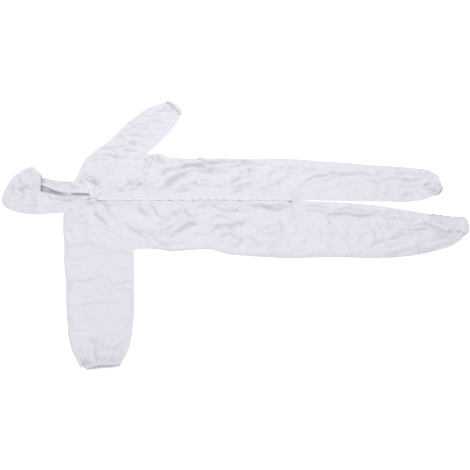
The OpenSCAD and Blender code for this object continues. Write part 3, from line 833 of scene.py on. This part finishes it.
def cloth_panel(name, parts, body, nodes, lies_on, bend=None, thickness=0.0004):
    """One cut panel of cloth, of one or two layers joined at a fold.

    bend, when given, leaves the panel in place on no body instead of attaching it; its body and stretch are
    not used.
    """
    verts, tris, places = [], [], []
    count = 0
    across = 0.0
    for points, own, place in parts:
        place = place - place.min(0)
        verts.append(points)
        tris.append(own + count)
        places.append(place + np.array([0, across]))
        count += len(points)
        across += place[:, 1].max()
    verts, tris, places = np.vstack(verts), np.vstack(tris), np.vstack(places)
    panel = mesh_piece(name, verts, tris.tolist(), outer_cloth)
    layout = panel.data.uv_layers.new(name="layout")
    layout.data.foreach_set("uv", places[tris.ravel()].ravel())
    side_of_loop = np.empty(len(panel.data.loops), int)
    panel.data.loops.foreach_get("edge_index", side_of_loop)
    rim_edges = np.bincount(side_of_loop, minlength=len(panel.data.edges)) == 1
    panel.data.attributes.new("sharp_edge", "BOOLEAN", "EDGE").data.foreach_set("value", rim_edges)
    shell = panel.modifiers.new("thickness", "SOLIDIFY")
    shell.thickness = thickness
    shell.offset = -1
    one = places[tris[:, 1]] - places[tris[:, 0]]
    two = places[tris[:, 2]] - places[tris[:, 0]]
    area = float(np.abs(one[:, 0] * two[:, 1] - one[:, 1] * two[:, 0]).sum() / 2)
    creased = np.cross(verts[tris[:, 1]] - verts[tris[:, 0]], verts[tris[:, 2]] - verts[tris[:, 0]])
    growth = max(1.0, float(np.linalg.norm(creased, axis=1).sum() / 2) / area)
    area *= growth
    length, width = (float(x) * math.sqrt(growth) for x in places.max(0) - places.min(0))
    if bend:
        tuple(bend[1])
        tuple(bend[2])
        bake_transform(panel)
    else:
        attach(panel, body)
    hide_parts(*nodes)


# ---- The back layer: the panels that lie on the table
# The back is cut to the same outline and lies flat. It curls up a little along the side folds to
# meet the front, and runs on past the front hem at the right ankle, where one sees into the leg.
back_edges = {}
back_edges["right sleeve outer fold"] = front_edges["right sleeve outer fold"]
back_edges["right wrist"] = [right_wrist[0], (-0.443, -0.858, 0.0075), (-0.413, -0.854, 0.0075),
                             (-0.378, -0.851, 0.0075), right_wrist[1]]
for name in ("right sleeve inner fold", "right side", "right leg outer fold"):
    back_edges[name] = front_edges[name]
back_edges["right heel"] = [right_ankle[0], (0.936, -0.196, 0.008), (0.945, -0.165, 0.014),
                            (0.948, -0.130, 0.016), (0.943, -0.106, 0.012), (0.905, -0.098, 0.010),
                            (0.856, -0.089, 0.009), right_ankle[1]]
back_edges["right leg inner fold"] = front_edges["right leg inner fold"]
back_edges["left leg inner fold"] = front_edges["left leg inner fold"]
back_edges["left heel"] = [left_ankle[0], (0.888, 0.068, 0.0065), (0.904, 0.094, 0.0075), left_ankle[1]]
for name in ("left leg outer fold", "left side", "left sleeve inner fold"):
    back_edges[name] = front_edges[name]
back_edges["left wrist"] = [left_wrist[0], (-0.284, 0.788, 0.009), (-0.314, 0.832, 0.009),
                            left_wrist[1]]
back_edges["left sleeve outer fold"] = front_edges["left sleeve outer fold"]
back_edges["left cheek fold"] = [neck_left, (-0.738, 0.149, 0.012), (-0.783, 0.157, 0.013),
                                 (-0.826, 0.168, 0.014), (-0.843, 0.173, 0.014)]
back_edges["crown fold"] = [(-0.843, 0.173, 0.014)] + front_edges["crown fold"][1:]
back_seams = {
    "neck": [neck_right, (-0.682, -0.010), (-0.676, 0.040), (-0.684, 0.090), neck_left],
    "right raglan": [(-0.682, -0.010), (-0.600, -0.090), (-0.500, -0.180), (-0.430, -0.250),
                     right_armpit],
    "left raglan": [(-0.684, 0.090), (-0.600, 0.150), (-0.500, 0.225), (-0.440, 0.290), left_armpit],
    "waist": [waist_right, (waist_x, 0.010), waist_left],
    "seat": [(waist_x, 0.010), crotch],
    "right of the head": [(-0.682, -0.010), (-0.800, -0.014), (-0.900, -0.022), (-0.954, -0.027, 0.005)],
    "left of the head": [(-0.684, 0.090), (-0.780, 0.098), (-0.880, 0.130), (-0.965, 0.200, 0.014)],
}
back_flat, back_heights, back_faces, back_lines, back_borders = lay_out(back_edges, back_seams, 0.0100)
# the back lies on the table, and curls up along its rim
rim = np.flatnonzero(~np.isnan(back_heights))
rim_tree = flat_tree(back_flat[rim])
back_points = []
for x, y in back_flat:
    _, k, gap = rim_tree.find((x, y, 0))
    curl = back_heights[rim[k]] - 0.0022
    wave = 0.0004 * math.sin(41 * x + 23 * y) * math.cos(37 * y - 19 * x)
    back_points.append((x, y, 0.0014 + wave + max(curl, 0) * math.exp(-(gap / 0.011) ** 2)))
back_points = np.array(back_points)
# a high fold behind the face opening, and low ones in the right heel
behind_face = fold_height(back_flat, [
    ([(-0.900, 0.118), (-0.830, 0.104), (-0.790, 0.084), (-0.740, 0.060), (-0.695, 0.052),
      (-0.610, 0.046), (-0.530, 0.040)], 0.0250, 0.020),
    ([(-0.880, 0.098), (-0.800, 0.066), (-0.740, 0.045), (-0.660, 0.040)], -0.0045, 0.004),
    ([(-0.860, 0.104), (-0.790, 0.074), (-0.730, 0.050)], 0.0025, 0.003),
    ([(0.850, -0.105), (0.890, -0.118), (0.935, -0.120)], 0.0060, 0.007),
    ([(0.880, -0.145), (0.915, -0.140), (0.942, -0.145)], 0.0060, 0.006),
    ([(0.880, -0.165), (0.915, -0.170), (0.935, -0.180)], -0.0020, 0.006),
])
back_points[:, 2] += np.where(np.isnan(back_heights), behind_face, 0)
back_points[:, 2] = np.maximum(back_points[:, 2], 0.0008)
back_part = parter(back_flat, back_faces[:, ::-1], back_borders, back_points)

# ---- Bodice
# Two fronts that meet at the zip, and one back. The fronts' long edges are turned in and sewn to
# the zip tapes; the strain lines run from the throat, where the zip ends.
cloth_panel("bodice_back_cloth", [back_part((-0.35, 0.02))], "torso", ["bodice_back"], [])
for side, y in (("right", -0.15), ("left", 0.20)):
    cloth_panel("bodice_front_" + side + "_cloth", [front_part((-0.30, y))], "torso",
                ["bodice_front_" + side], ["bodice_back_cloth"])

# ---- Trousers
# A front and a back for each leg, cut in one from waist to ankle, sewn down the inside and outside
# of the leg and up the middle.
hip_x, thigh_x = 0.285, 0.470
right_bend = ("right_leg", (hip_x, -0.158, 0), (thigh_x, -0.158, 0))
left_bend = ("left_leg", (hip_x, 0.172, 0), (thigh_x, 0.172, 0))
for layer, part in (("back", back_part), ("front", front_part)):
    for side, y, bend in (("right", -0.18, right_bend), ("left", 0.18, left_bend)):
        lies_on = [side + "_trouser_back_cloth"] if layer == "front" else []
        cloth_panel(f"{side}_trouser_{layer}_cloth", [part((0.40, y))], "torso",
                    [f"seat_{layer}_{side}", f"{side}_leg_{layer}"], lies_on, bend)

# ---- Sleeves
# Raglan sleeves of two panels each, sewn along the outer fold and under the arm, their stripes
# running down the arm.
right_arm_bend = ("right_sleeve", (-0.492, -0.318, 0), (-0.466, -0.470, 0))
left_arm_bend = ("left_sleeve", (-0.507, 0.412, 0), (-0.450, 0.519, 0))
for side, spot, grain, bend in (("right", (-0.48, -0.60), -80.3, right_arm_bend),
                                ("left", (-0.45, 0.60), 62.0, left_arm_bend)):
    back, front = side + "_sleeve_back", side + "_sleeve_front"
    cloth_panel(back + "_cloth", [back_part(spot, grain)], "torso", [back], [], bend)
    cloth_panel(front + "_cloth", [front_part(spot, grain)], "torso", [front], [back + "_cloth"], bend)

# ---- Hood
# Two side panels round the neck and cheeks, and a crown panel between them over the head. The brow
# hem stands up in an arch over the left cheek, which runs in under it.
left_cheek_edges = {
    "cheek fold": [(-0.866, 0.166, 0.012), (-0.843, 0.170, 0.014), (-0.826, 0.167, 0.015),
                   (-0.783, 0.156, 0.014), (-0.738, 0.148, 0.013), neck_left],
    "left neck outer": front_edges["left neck outer"],
    "left neck inner": front_edges["left neck inner"],
    "throat left": [throat_left, (-0.588, 0.0085, 0.0250), (-0.601, 0.0130, 0.0248),
                    (-0.612, 0.042, 0.024)],
    "face left": [(-0.612, 0.042, 0.024), (-0.652, 0.046, 0.024), (-0.695, 0.047, 0.024),
                  (-0.739, 0.053, 0.024), (-0.788, 0.079, 0.024), (-0.829, 0.103, 0.022),
                  (-0.866, 0.112, 0.018)],
    "under the brow": [(-0.866, 0.112, 0.018), (-0.874, 0.137, 0.014), (-0.866, 0.166, 0.012)],
}
cheek_flat, cheek_heights, cheek_faces, cheek_lines, _ = lay_out(left_cheek_edges, {}, 0.0052)
cheek_folds = fold_height(cheek_flat, [
    ([(-0.860, 0.150), (-0.780, 0.138), (-0.700, 0.120), (-0.630, 0.070)], 0.006, 0.008),
    ([(-0.850, 0.135), (-0.780, 0.120), (-0.710, 0.100), (-0.640, 0.062)], -0.007, 0.007),
    ([(-0.840, 0.118), (-0.780, 0.103), (-0.710, 0.080), (-0.630, 0.055)], 0.005, 0.007),
    ([(-0.760, 0.078), (-0.700, 0.064), (-0.650, 0.058)], -0.004, 0.006),
    ([(-0.680, 0.125), (-0.650, 0.095), (-0.615, 0.062)], -0.005, 0.006),
])
cheek = settle(cheek_flat, cheek_heights, cheek_faces, cheek_folds, np.zeros_like(cheek_flat), 0.02,
               20, seed=3, plump=0.018)
hood_bend = ("hood", (-0.704, 0.044, 0), (-0.790, 0.044, 0))
for name, node, parts in (
    ("hood_right_side", "hood_right_panel", [front_part((-0.76, -0.03)), back_part((-0.76, -0.045))]),
    ("hood_left_side", "hood_left_panel", [(cheek, cheek_faces, cheek_flat), back_part((-0.76, 0.125))]),
    ("hood_crown", "hood_crown_panel", [front_part((-0.90, 0.08)), back_part((-0.80, 0.04))]),
):
    cloth_panel(name + "_cloth", parts, "torso", [node], [], hood_bend)


# ---- Wrist and ankle elastics
# The end of each sleeve and leg is turned over a narrow elastic and sewn down, which draws it into
# a frilled ring. The opening is seen between its upper and lower edge.
def elastic_cloth(name):
    """White cloth drawn up in close puckers over an elastic."""
    finish, surface, start = new_finish(name)
    place = start.node("TexCoord", result=3)
    rib = start.node("TexWave", {"wave_type": "BANDS", "bands_direction": "DIAGONAL"}, Vector=place,
                     Scale=90.0, Distortion=3.0, Detail=2.0)
    knit = start.node("TexVoronoi", Vector=place, Scale=420.0)
    # the colour follows the puckers, lighter on their ridges and darker in their hollows: painted shade in
    # the hollows between the puckers
    tone = (rib * 0.6).mix((0.67, 0.675, 0.73, 1), (0.76, 0.76, 0.80, 1))
    bump = start.node("Bump", Strength=0.5, Distance=0.0012, Height=rib * 0.8 + knit * 0.2)
    feed(surface, Base_Color=tone, Roughness=0.6 + rib * 0.1, Normal=bump)
    surface.inputs["Sheen Weight"].default_value = 0.1
    return finish


hem_cloth = elastic_cloth("gathered_hem")


def gathered_ring(name, front, back, out_front, out_back, node, body, frills,
                  depth=0.0085, thick=0.0019, frill=0.0030):
    """A frilled hem round an opening: along its upper edge, and back along its lower edge."""
    front, back = np.array(front), np.array(back)[::-1]
    inward = np.sin(np.linspace(0, math.pi, len(front))) * (depth - 0.0035)
    front[:, :2] -= inward[:, None] * np.array(out_front)
    front[:, 2] += 0.0010
    ring = np.vstack([front, back])
    outs = np.array([out_front] * len(front) + [out_back] * len(back) + [out_front], float)
    closed = np.vstack([ring, ring[:1]])
    run = length_along(closed)
    total = run[-1]
    count = int(total / 0.0016)
    stops = np.linspace(0, total, count, endpoint=False)
    middle = at_stops(stops, run, closed)
    outward = at_stops(stops, run, outs)
    for _ in range(6):
        middle = (np.roll(middle, 1, 0) + 2 * middle + np.roll(middle, -1, 0)) / 4
        outward = (np.roll(outward, 1, 0) + 2 * outward + np.roll(outward, -1, 0)) / 4
    outward /= np.linalg.norm(outward, axis=1)[:, None] + 1e-9
    corners = 10
    verts = []
    for (x, y, z), (ox, oy), s in zip(middle, outward, stops):
        turn = 2 * math.pi * frills * s / total
        lift = frill * (math.sin(turn) + 0.4 * math.sin(2.3 * turn + 1))
        push = 0.7 * frill * (math.sin(turn + 0.8) + 0.5 * math.sin(1.7 * turn))
        for k in range(corners):
            angle = 2 * math.pi * k / corners
            far = math.cos(angle)
            reach = depth * far * (1 + 0.2 * math.sin(turn)) + push * (0.4 + 0.6 * (far > 0))
            rise = thick * math.sin(angle) + lift * (0.5 + 0.5 * far)
            verts.append((x + ox * reach, y + oy * reach, max(z + rise, 0.0006)))
    ring_faces = []
    for i in range(count):
        for k in range(corners):
            a, b = i * corners + k, i * corners + (k + 1) % corners
            c, d = (i + 1) % count * corners + (k + 1) % corners, (i + 1) % count * corners + k
            ring_faces.append((a, b, c, d))
    piece = mesh_piece(name, verts, ring_faces, hem_cloth)
    outside_out(piece)
    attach(piece, body)
    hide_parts(node)


def outside_out(piece):
    """Turns a closed mesh's faces outwards."""
    work = bmesh.new()
    work.from_mesh(piece.data)
    bmesh.ops.recalc_face_normals(work, faces=work.faces)
    work.to_mesh(piece.data)
    work.free()
    piece.data.shade_smooth()


gathered_ring("right_cuff", settled[lines["right wrist"]], back_points[back_lines["right wrist"]],
              (0.09, -0.996), (0.09, -0.996), "right_cuff_elastic", "right_sleeve", 18, frill=0.0023)
gathered_ring("left_cuff", settled[lines["left wrist"]], back_points[back_lines["left wrist"]],
              (0.84, 0.54), (0.84, 0.54), "left_cuff_elastic", "left_sleeve", 21)
gathered_ring("right_ankle_hem", settled[lines["right ankle"]], back_points[back_lines["right heel"]],
              (0.66, 0.75), (0.96, 0.10), "right_ankle_elastic", "right_leg", 15,
              depth=0.0050, frill=0.0012)
gathered_ring("left_ankle_hem", settled[lines["left ankle"]], back_points[back_lines["left heel"]],
              (0.82, -0.57), (0.82, -0.57), "left_ankle_elastic", "left_leg", 11,
              depth=0.0060, frill=0.0022)

# ---- Face elastic
# A thin elastic sewn into the hem of the face opening and over the brow. It draws the hem into small
# frills and closes the opening to a slit.
face_line = np.vstack([settled[lines["face right"]], settled[lines["brow"]]])
left_line = cheek[cheek_lines["face left"]][::-1]


def rolled_hem(line, radius, wave_length):
    """Points and faces of a small rolled edge along a line, with its frills."""
    line = np.array(line)
    run = length_along(line)
    count = max(4, int(run[-1] / 0.0022))
    stops = np.linspace(0, run[-1], count)
    spine = at_stops(stops, run, line)
    corners = 8
    verts, tube = [], []
    for i, s in enumerate(stops):
        way = Vector(spine[min(i + 1, count - 1)] - spine[max(i - 1, 0)]).normalized()
        side = way.cross(Vector((0, 0, 1))).normalized()
        up = side.cross(way)
        end = min(1.0, min(i, count - 1 - i) * 0.5 + 0.15)
        bob = 0.0009 * math.sin(2 * math.pi * s / wave_length)
        for k in range(corners):
            angle = 2 * math.pi * k / corners
            offset = side * (radius * 1.4 * end * math.cos(angle))
            offset = offset + up * (radius * end * math.sin(angle) + bob)
            verts.append(tuple(Vector(spine[i]) + offset))
    for i in range(count - 1):
        for k in range(corners):
            a, b = i * corners + k, i * corners + (k + 1) % corners
            tube.append((a, b, b + corners, a + corners))
    tube.append(tuple(range(corners))[::-1])
    tube.append(tuple(range((count - 1) * corners, count * corners)))
    return verts, tube


def several(tubes):
    """Several point and face lists as one."""
    verts, faces = [], []
    for some, own in tubes:
        faces += [tuple(i + len(verts) for i in face) for face in own]
        verts += list(some)
    return verts, faces


face_elastic = mesh_piece("face_elastic", *several([rolled_hem(face_line, 0.0014, 0.011),
                                                    rolled_hem(left_line, 0.0014, 0.012)]), hem_cloth)
outside_out(face_elastic)
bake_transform(face_elastic)
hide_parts("hood_face_elastic")

# ---- Waist elastic
# A band of elastic inside the waist seam, stretched as it is sewn on, with a gap at the zip. It lies
# under the front panels and on the back ones.
surface_tree = flat_tree(settled)


def cloth_top(x, y):
    """Height of the settled front at a place."""
    near = surface_tree.find_n((x, y, 0), 3)
    weights = [1 / (gap_to + 1e-5) for _, _, gap_to in near]
    return sum(w * settled[k][2] for w, (_, k, _) in zip(weights, near)) / sum(weights)


band_half = 0.006
band_verts = []
band_faces = []


def lay_band(places):
    """Adds a flat stretch of the band along some places."""
    first = len(band_verts)
    for x, y, z in places:
        band_verts.extend([(x - band_half, y, z), (x + band_half, y, z)])
    for a in range(first, len(band_verts) - 2, 2):
        band_faces.append((a, a + 1, a + 3, a + 2))


def below_cloth(x, y, z):
    """A place of the band just below the front, and above the back."""
    lowest = min(z, cloth_top(x - band_half, y), cloth_top(x + band_half, y))
    return x, y, max(lowest - 0.0034, 0.0030)


for seam in (settled[lines["right waist"]][1:-3], settled[lines["left waist"]][3:-1]):
    lay_band([below_cloth(*place) for place in seam])
lay_band([(waist_x, y, 0.0024 + 0.0003 * math.sin(y * 900)) for y in np.linspace(-0.272, 0.306, 60)])
waist_band = mesh_piece("waist_band", band_verts, band_faces, hem_cloth)
shell = waist_band.modifiers.new("thickness", "SOLIDIFY")
shell.thickness = 0.0008
shell.offset = -1
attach(waist_band, "torso")
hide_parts("waist_elastic")


# ---- Zip
# A nylon coil zip: a woven tape down each front edge, a coil of plastic wire sewn along each tape,
# stops at both ends, and a painted metal slider with a swinging tab.
def plastic_finish(name, colour, roughness, grain, metallic=0.0):
    """Moulded or painted parts: a slightly uneven colour and a fine grain."""
    finish, surface, start = new_finish(name)
    place = start.node("TexCoord", result=3)
    speck = start.node("TexNoise", Vector=place, Scale=grain, Detail=3.0)
    tone = speck.mix(tuple(c * 0.93 for c in colour) + (1,), colour + (1,))
    bump = start.node("Bump", Strength=0.2, Distance=0.0003, Height=speck)
    feed(surface, Base_Color=tone, Roughness=roughness + speck * 0.12, Normal=bump)
    surface.inputs["Metallic"].default_value = metallic
    return finish


def tape_finish():
    """Close herringbone tape."""
    finish, surface, start = new_finish("zip_tape_weave")
    place = start.node("TexCoord", result=3)
    one = start.node("TexWave", {"wave_type": "BANDS", "bands_direction": "DIAGONAL"}, Vector=place,
                     Scale=330.0, Distortion=0.4)
    ribs = start.node("TexWave", {"wave_type": "BANDS", "bands_direction": "Y"}, Vector=place,
                      Scale=200.0)
    tone = (one * ribs).mix((0.66, 0.665, 0.72, 1), (0.80, 0.80, 0.84, 1))
    bump = start.node("Bump", Strength=0.4, Distance=0.0004, Height=one * 0.6 + ribs * 0.4)
    feed(surface, Base_Color=tone, Roughness=0.66 + one * 0.08, Normal=bump)
    return finish


tape_weave = tape_finish()
coil_nylon = plastic_finish("coil_nylon", (0.82, 0.82, 0.86), 0.34, 900.0)
slider_paint = plastic_finish("slider_paint", (0.80, 0.80, 0.83), 0.30, 500.0)


def paint_node(node, finish):
    """Gives a CAD node that stays its finish."""
    kept = frame["nodes"][node]
    for holder in [kept] + list(kept.children_recursive):
        if holder.type == "MESH":
            holder.data.materials.clear()
            holder.data.materials.append(finish)


for node in ("zip_tape_right", "zip_tape_left"):
    paint_node(node, tape_weave)
for node in ("zip_top_stops", "zip_bottom_stop", "zip_slider", "zip_pull_tab"):
    paint_node(node, slider_paint)
paint_node("flap_seam_strip", hem_cloth)


def adder(tree):
    """A function that adds a node to a tree, with the values or links of its inputs."""
    def add(kind, settings=None, **values):
        made = tree.nodes.new(kind)
        for key, value in (settings or {}).items():
            setattr(made, key, value)
        for key, value in values.items():
            socket = made.inputs[int(key[1:]) if key[1:].isdigit() else key.replace("_", " ")]
            if isinstance(value, bpy.types.NodeSocket):
                tree.links.new(value, socket)
            else:
                socket.default_value = value
        return made.outputs[0]

    return add


def row_tree(name, build_item):
    """A node tree that sets an item at every step along a line, turned to follow it."""
    tree = bpy.data.node_groups.new(name, "GeometryNodeTree")
    face = tree.interface
    face.new_socket("Line", in_out="INPUT", socket_type="NodeSocketGeometry")
    for label, value in (("Step", 0.0015), ("Length", 0.003), ("Thickness", 0.0005)):
        face.new_socket(label, in_out="INPUT", socket_type="NodeSocketFloat").default_value = value
    face.new_socket("Finish", in_out="INPUT", socket_type="NodeSocketMaterial")
    face.new_socket("Row", in_out="OUTPUT", socket_type="NodeSocketGeometry")
    add = adder(tree)
    given = tree.nodes.new("NodeGroupInput").outputs
    curve = add("GeometryNodeMeshToCurve", i0=given["Line"])
    steps = add("GeometryNodeResampleCurve", {"mode": "LENGTH"}, Curve=curve, Length=given["Step"])
    way = add("GeometryNodeInputTangent")
    turn = add("FunctionNodeAlignRotationToVector", {"axis": "Z"}, Vector=way)
    rows = add("GeometryNodeInstanceOnPoints", Points=steps, Instance=build_item(add, given), Rotation=turn)
    solid = add("GeometryNodeRealizeInstances", i0=rows)
    painted = add("GeometryNodeSetMaterial", Geometry=solid, Material=given["Finish"])
    smooth = add("GeometryNodeSetShadeSmooth", i0=painted)
    tree.links.new(smooth, tree.nodes.new("NodeGroupOutput").inputs["Row"])
    return tree


def coil_turn(add, given):
    """One turn of the coil: a small ring lying across the tape, its head towards the other coil."""
    half = add("ShaderNodeMath", {"operation": "DIVIDE"}, i0=given["Length"], i1=2.0)
    loop = add("GeometryNodeCurvePrimitiveCircle", Resolution=8, Radius=half)
    wire = add("GeometryNodeCurvePrimitiveCircle", Resolution=5, Radius=given["Thickness"])
    return add("GeometryNodeCurveToMesh", Curve=loop, Profile_Curve=wire)


def one_stitch(add, given):
    """One stitch: a short thread with rounded ends."""
    thread = add("GeometryNodeMeshUVSphere", Segments=6, Rings=4, Radius=0.5)
    size = add("ShaderNodeCombineXYZ", i0=given["Thickness"], i1=given["Thickness"], i2=given["Length"])
    return add("GeometryNodeTransform", Geometry=thread, Scale=size)


coil_tree = row_tree("coil_row", coil_turn)
stitch_tree = row_tree("stitch_row", one_stitch)


def row_of(name, tree, runs, finish, step, length, thickness):
    """A plain mesh of the items set along some lines."""
    verts, edges = [], []
    for run in runs:
        edges += [(len(verts) + i, len(verts) + i + 1) for i in range(len(run) - 1)]
        verts += [tuple(p) for p in run]
    guide = bpy.data.meshes.new(name)
    guide.from_pydata(verts, edges, [])
    holder = bpy.data.objects.new(name + "_line", guide)
    bpy.context.scene.collection.objects.link(holder)
    rows = holder.modifiers.new("row", "NODES")
    rows.node_group = tree
    values = {"Step": step, "Length": length, "Thickness": thickness, "Finish": finish}
    for socket in tree.interface.items_tree:
        if socket.in_out == "INPUT" and socket.name in values:
            rows[socket.identifier] = values[socket.name]
    made = bpy.data.meshes.new_from_object(holder.evaluated_get(bpy.context.evaluated_depsgraph_get()))
    made.name = name
    piece = bpy.data.objects.new(name, made)
    bpy.context.scene.collection.objects.link(piece)
    bpy.data.objects.remove(holder)
    bpy.data.meshes.remove(guide)
    return piece


for side in ("right", "left"):
    low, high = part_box("zip_coil_" + side)
    y = (low[1] + high[1]) / 2
    z = (low[2] + high[2]) / 2
    coil = row_of("coil_" + side, coil_tree, [[(low[0] + 0.001, y, z), (high[0] - 0.001, y, z)]],
                  coil_nylon, 0.0015, 0.0019, 0.00042)
    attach(coil, "torso")
    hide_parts("zip_coil_" + side)

# ---- Storm flap
# A long folded strip of the suit's cloth, sewn down on the left of the zip and free on the right.
# Its free edge has stretched, so it lies in waves over the zip, and its top corner is rounded.
flap_low, flap_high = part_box("storm_flap")
flap_rows, flap_steps = 9, 330
corner = 0.014
wave_length = 0.038
flap_verts, flap_flat = [], []
for i in range(flap_steps + 1):
    x = flap_low[0] + (flap_high[0] - flap_low[0]) * i / flap_steps
    down = x - flap_low[0]
    cut = corner - math.sqrt(max(corner ** 2 - max(corner - down, 0) ** 2, 0))
    free_y = flap_low[1] + 0.0005 + cut
    sewn_y = flap_high[1] + 0.0050
    strength = 0.16 + 0.84 * math.exp(-((x + 0.13) / 0.17) ** 4)
    phase = 2 * math.pi * x / wave_length + 2.2 * math.sin(x * 17 + 1)
    wave = math.sin(phase + 0.9 * math.sin(x * 43)) + 0.5 * math.sin(2 * math.pi * x / 0.091)
    edge_rest = max(cloth_top(x, free_y) + 0.0014, 0.0262)
    sewn_rest = cloth_top(x, sewn_y) + 0.0004
    for j in range(flap_rows + 1):
        share = j / flap_rows
        y = sewn_y + (free_y - sewn_y) * share
        rumple = (noise.noise(Vector((x * 21, share * 1.3, 0.4)))
                  + 0.5 * noise.noise(Vector((x * 57, share * 2, 5))))
        lift = (0.0005 * strength * (wave + 0.6) * share ** 3
                + (0.0014 + 0.0034 * max(rumple, -0.3)) * math.sin(math.pi * share))
        lift += 0.0012 * math.exp(-((down - 0.020) / 0.018) ** 2) * share ** 3
        sway = 0.0030 * strength * math.sin(phase + 0.9) * share ** 2
        z = sewn_rest + (edge_rest - sewn_rest) * share + lift
        flap_verts.append((x, y + sway, max(z, 0.0284) if -0.002 < y < 0.024 else z))
        flap_flat.append((down, (sewn_y - y)))
flap_tris = []
for i in range(flap_steps):
    for j in range(flap_rows):
        a = i * (flap_rows + 1) + j
        b = a + flap_rows + 1
        flap_tris += [(a, a + 1, b + 1), (a, b + 1, b)]
flap_verts, flap_flat = np.array(flap_verts), np.array(flap_flat)
flap_tris = np.array(flap_tris)
one = flap_verts[flap_tris[:, 1]] - flap_verts[flap_tris[:, 0]]
two = flap_verts[flap_tris[:, 2]] - flap_verts[flap_tris[:, 0]]
facing_down = np.cross(one, two)[:, 2] < 0
flap_tris[facing_down] = flap_tris[facing_down][:, ::-1]
cloth_panel("storm_flap_cloth", [(flap_verts, flap_tris, flap_flat)], "storm_flap",
            ["storm_flap"], ["bodice_front_right_cloth"], thickness=0.0011)

# ---- Seams
# Every seam is sewn with white thread, in two rows where the allowance is felled. Two rows are drawn at the
# waist and round the brow hem, one row beside the neck, raglan, side and zip seams, the sleeve and leg
# folds, the wrists, the right ankle and along the flap.
thread = plastic_finish("sewing_thread", (0.78, 0.78, 0.82), 0.55, 1500.0)


def beside(line, gap):
    """A line moved sideways by a gap."""
    way = np.gradient(line[:, :2], axis=0)
    way /= np.linalg.norm(way, axis=1)[:, None] + 1e-9
    moved = line.copy()
    moved[:, 0] -= way[:, 1] * gap
    moved[:, 1] += way[:, 0] * gap
    return moved


def sewn(ids, gap, step=0.003):
    """A stitching line on the settled front, a gap to the side of one of its seams."""
    line = settled[ids]
    run = length_along(line)
    stops = np.arange(0.004, run[-1] - 0.004, step)
    moved = beside(at_stops(stops, run, line), gap)
    for p in moved:
        p[2] = cloth_top(p[0], p[1]) + 0.0001
    return moved


def stitches(name, runs, body, bend=None):
    """Rows of stitches on one body, or on the cloth between two."""
    piece = row_of(name, stitch_tree, runs, thread, 0.0034, 0.0026, 0.0005)
    if bend:
        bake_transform(piece)
    else:
        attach(piece, body)


stitches("bodice_stitches", [
    sewn(lines["right neck outer"], -0.003), sewn(lines["right neck inner"], -0.003),
    sewn(lines["right raglan"], 0.003), sewn(lines["left raglan"], -0.003),
    sewn(lines["right waist"], 0.005), sewn(lines["right waist"], -0.005),
    sewn(lines["left waist"], 0.005), sewn(lines["left waist"], -0.005),
    sewn(lines["zip right"], 0.006), sewn(lines["zip left"], 0.006),
    sewn(lines["right side"], 0.008), sewn(lines["left side"], 0.008),
], "torso")
stitches("right_sleeve_stitches", [sewn(lines["right sleeve inner fold"], 0.010),
                                   sewn(lines["right wrist"], 0.006)], "torso", right_arm_bend)
stitches("left_sleeve_stitches", [sewn(lines["left sleeve outer fold"], 0.009),
                                  sewn(lines["left wrist"], 0.006)], "torso", left_arm_bend)
stitches("hood_stitches", [sewn(lines["brow"], 0.007), sewn(lines["brow"], 0.013)], "torso", hood_bend)
stitches("right_leg_stitches", [sewn(lines["right leg outer fold"], 0.010),
                                sewn(lines["right ankle"], 0.006)], "torso", right_bend)
stitches("left_leg_stitches", [sewn(lines["left leg outer fold"], 0.010)], "torso", left_bend)
flap_line = flap_verts.reshape(flap_steps + 1, flap_rows + 1, 3)[2:-2, 3] + (0, 0, 0.0003)
stitches("flap_stitches", [flap_line], "storm_flap")
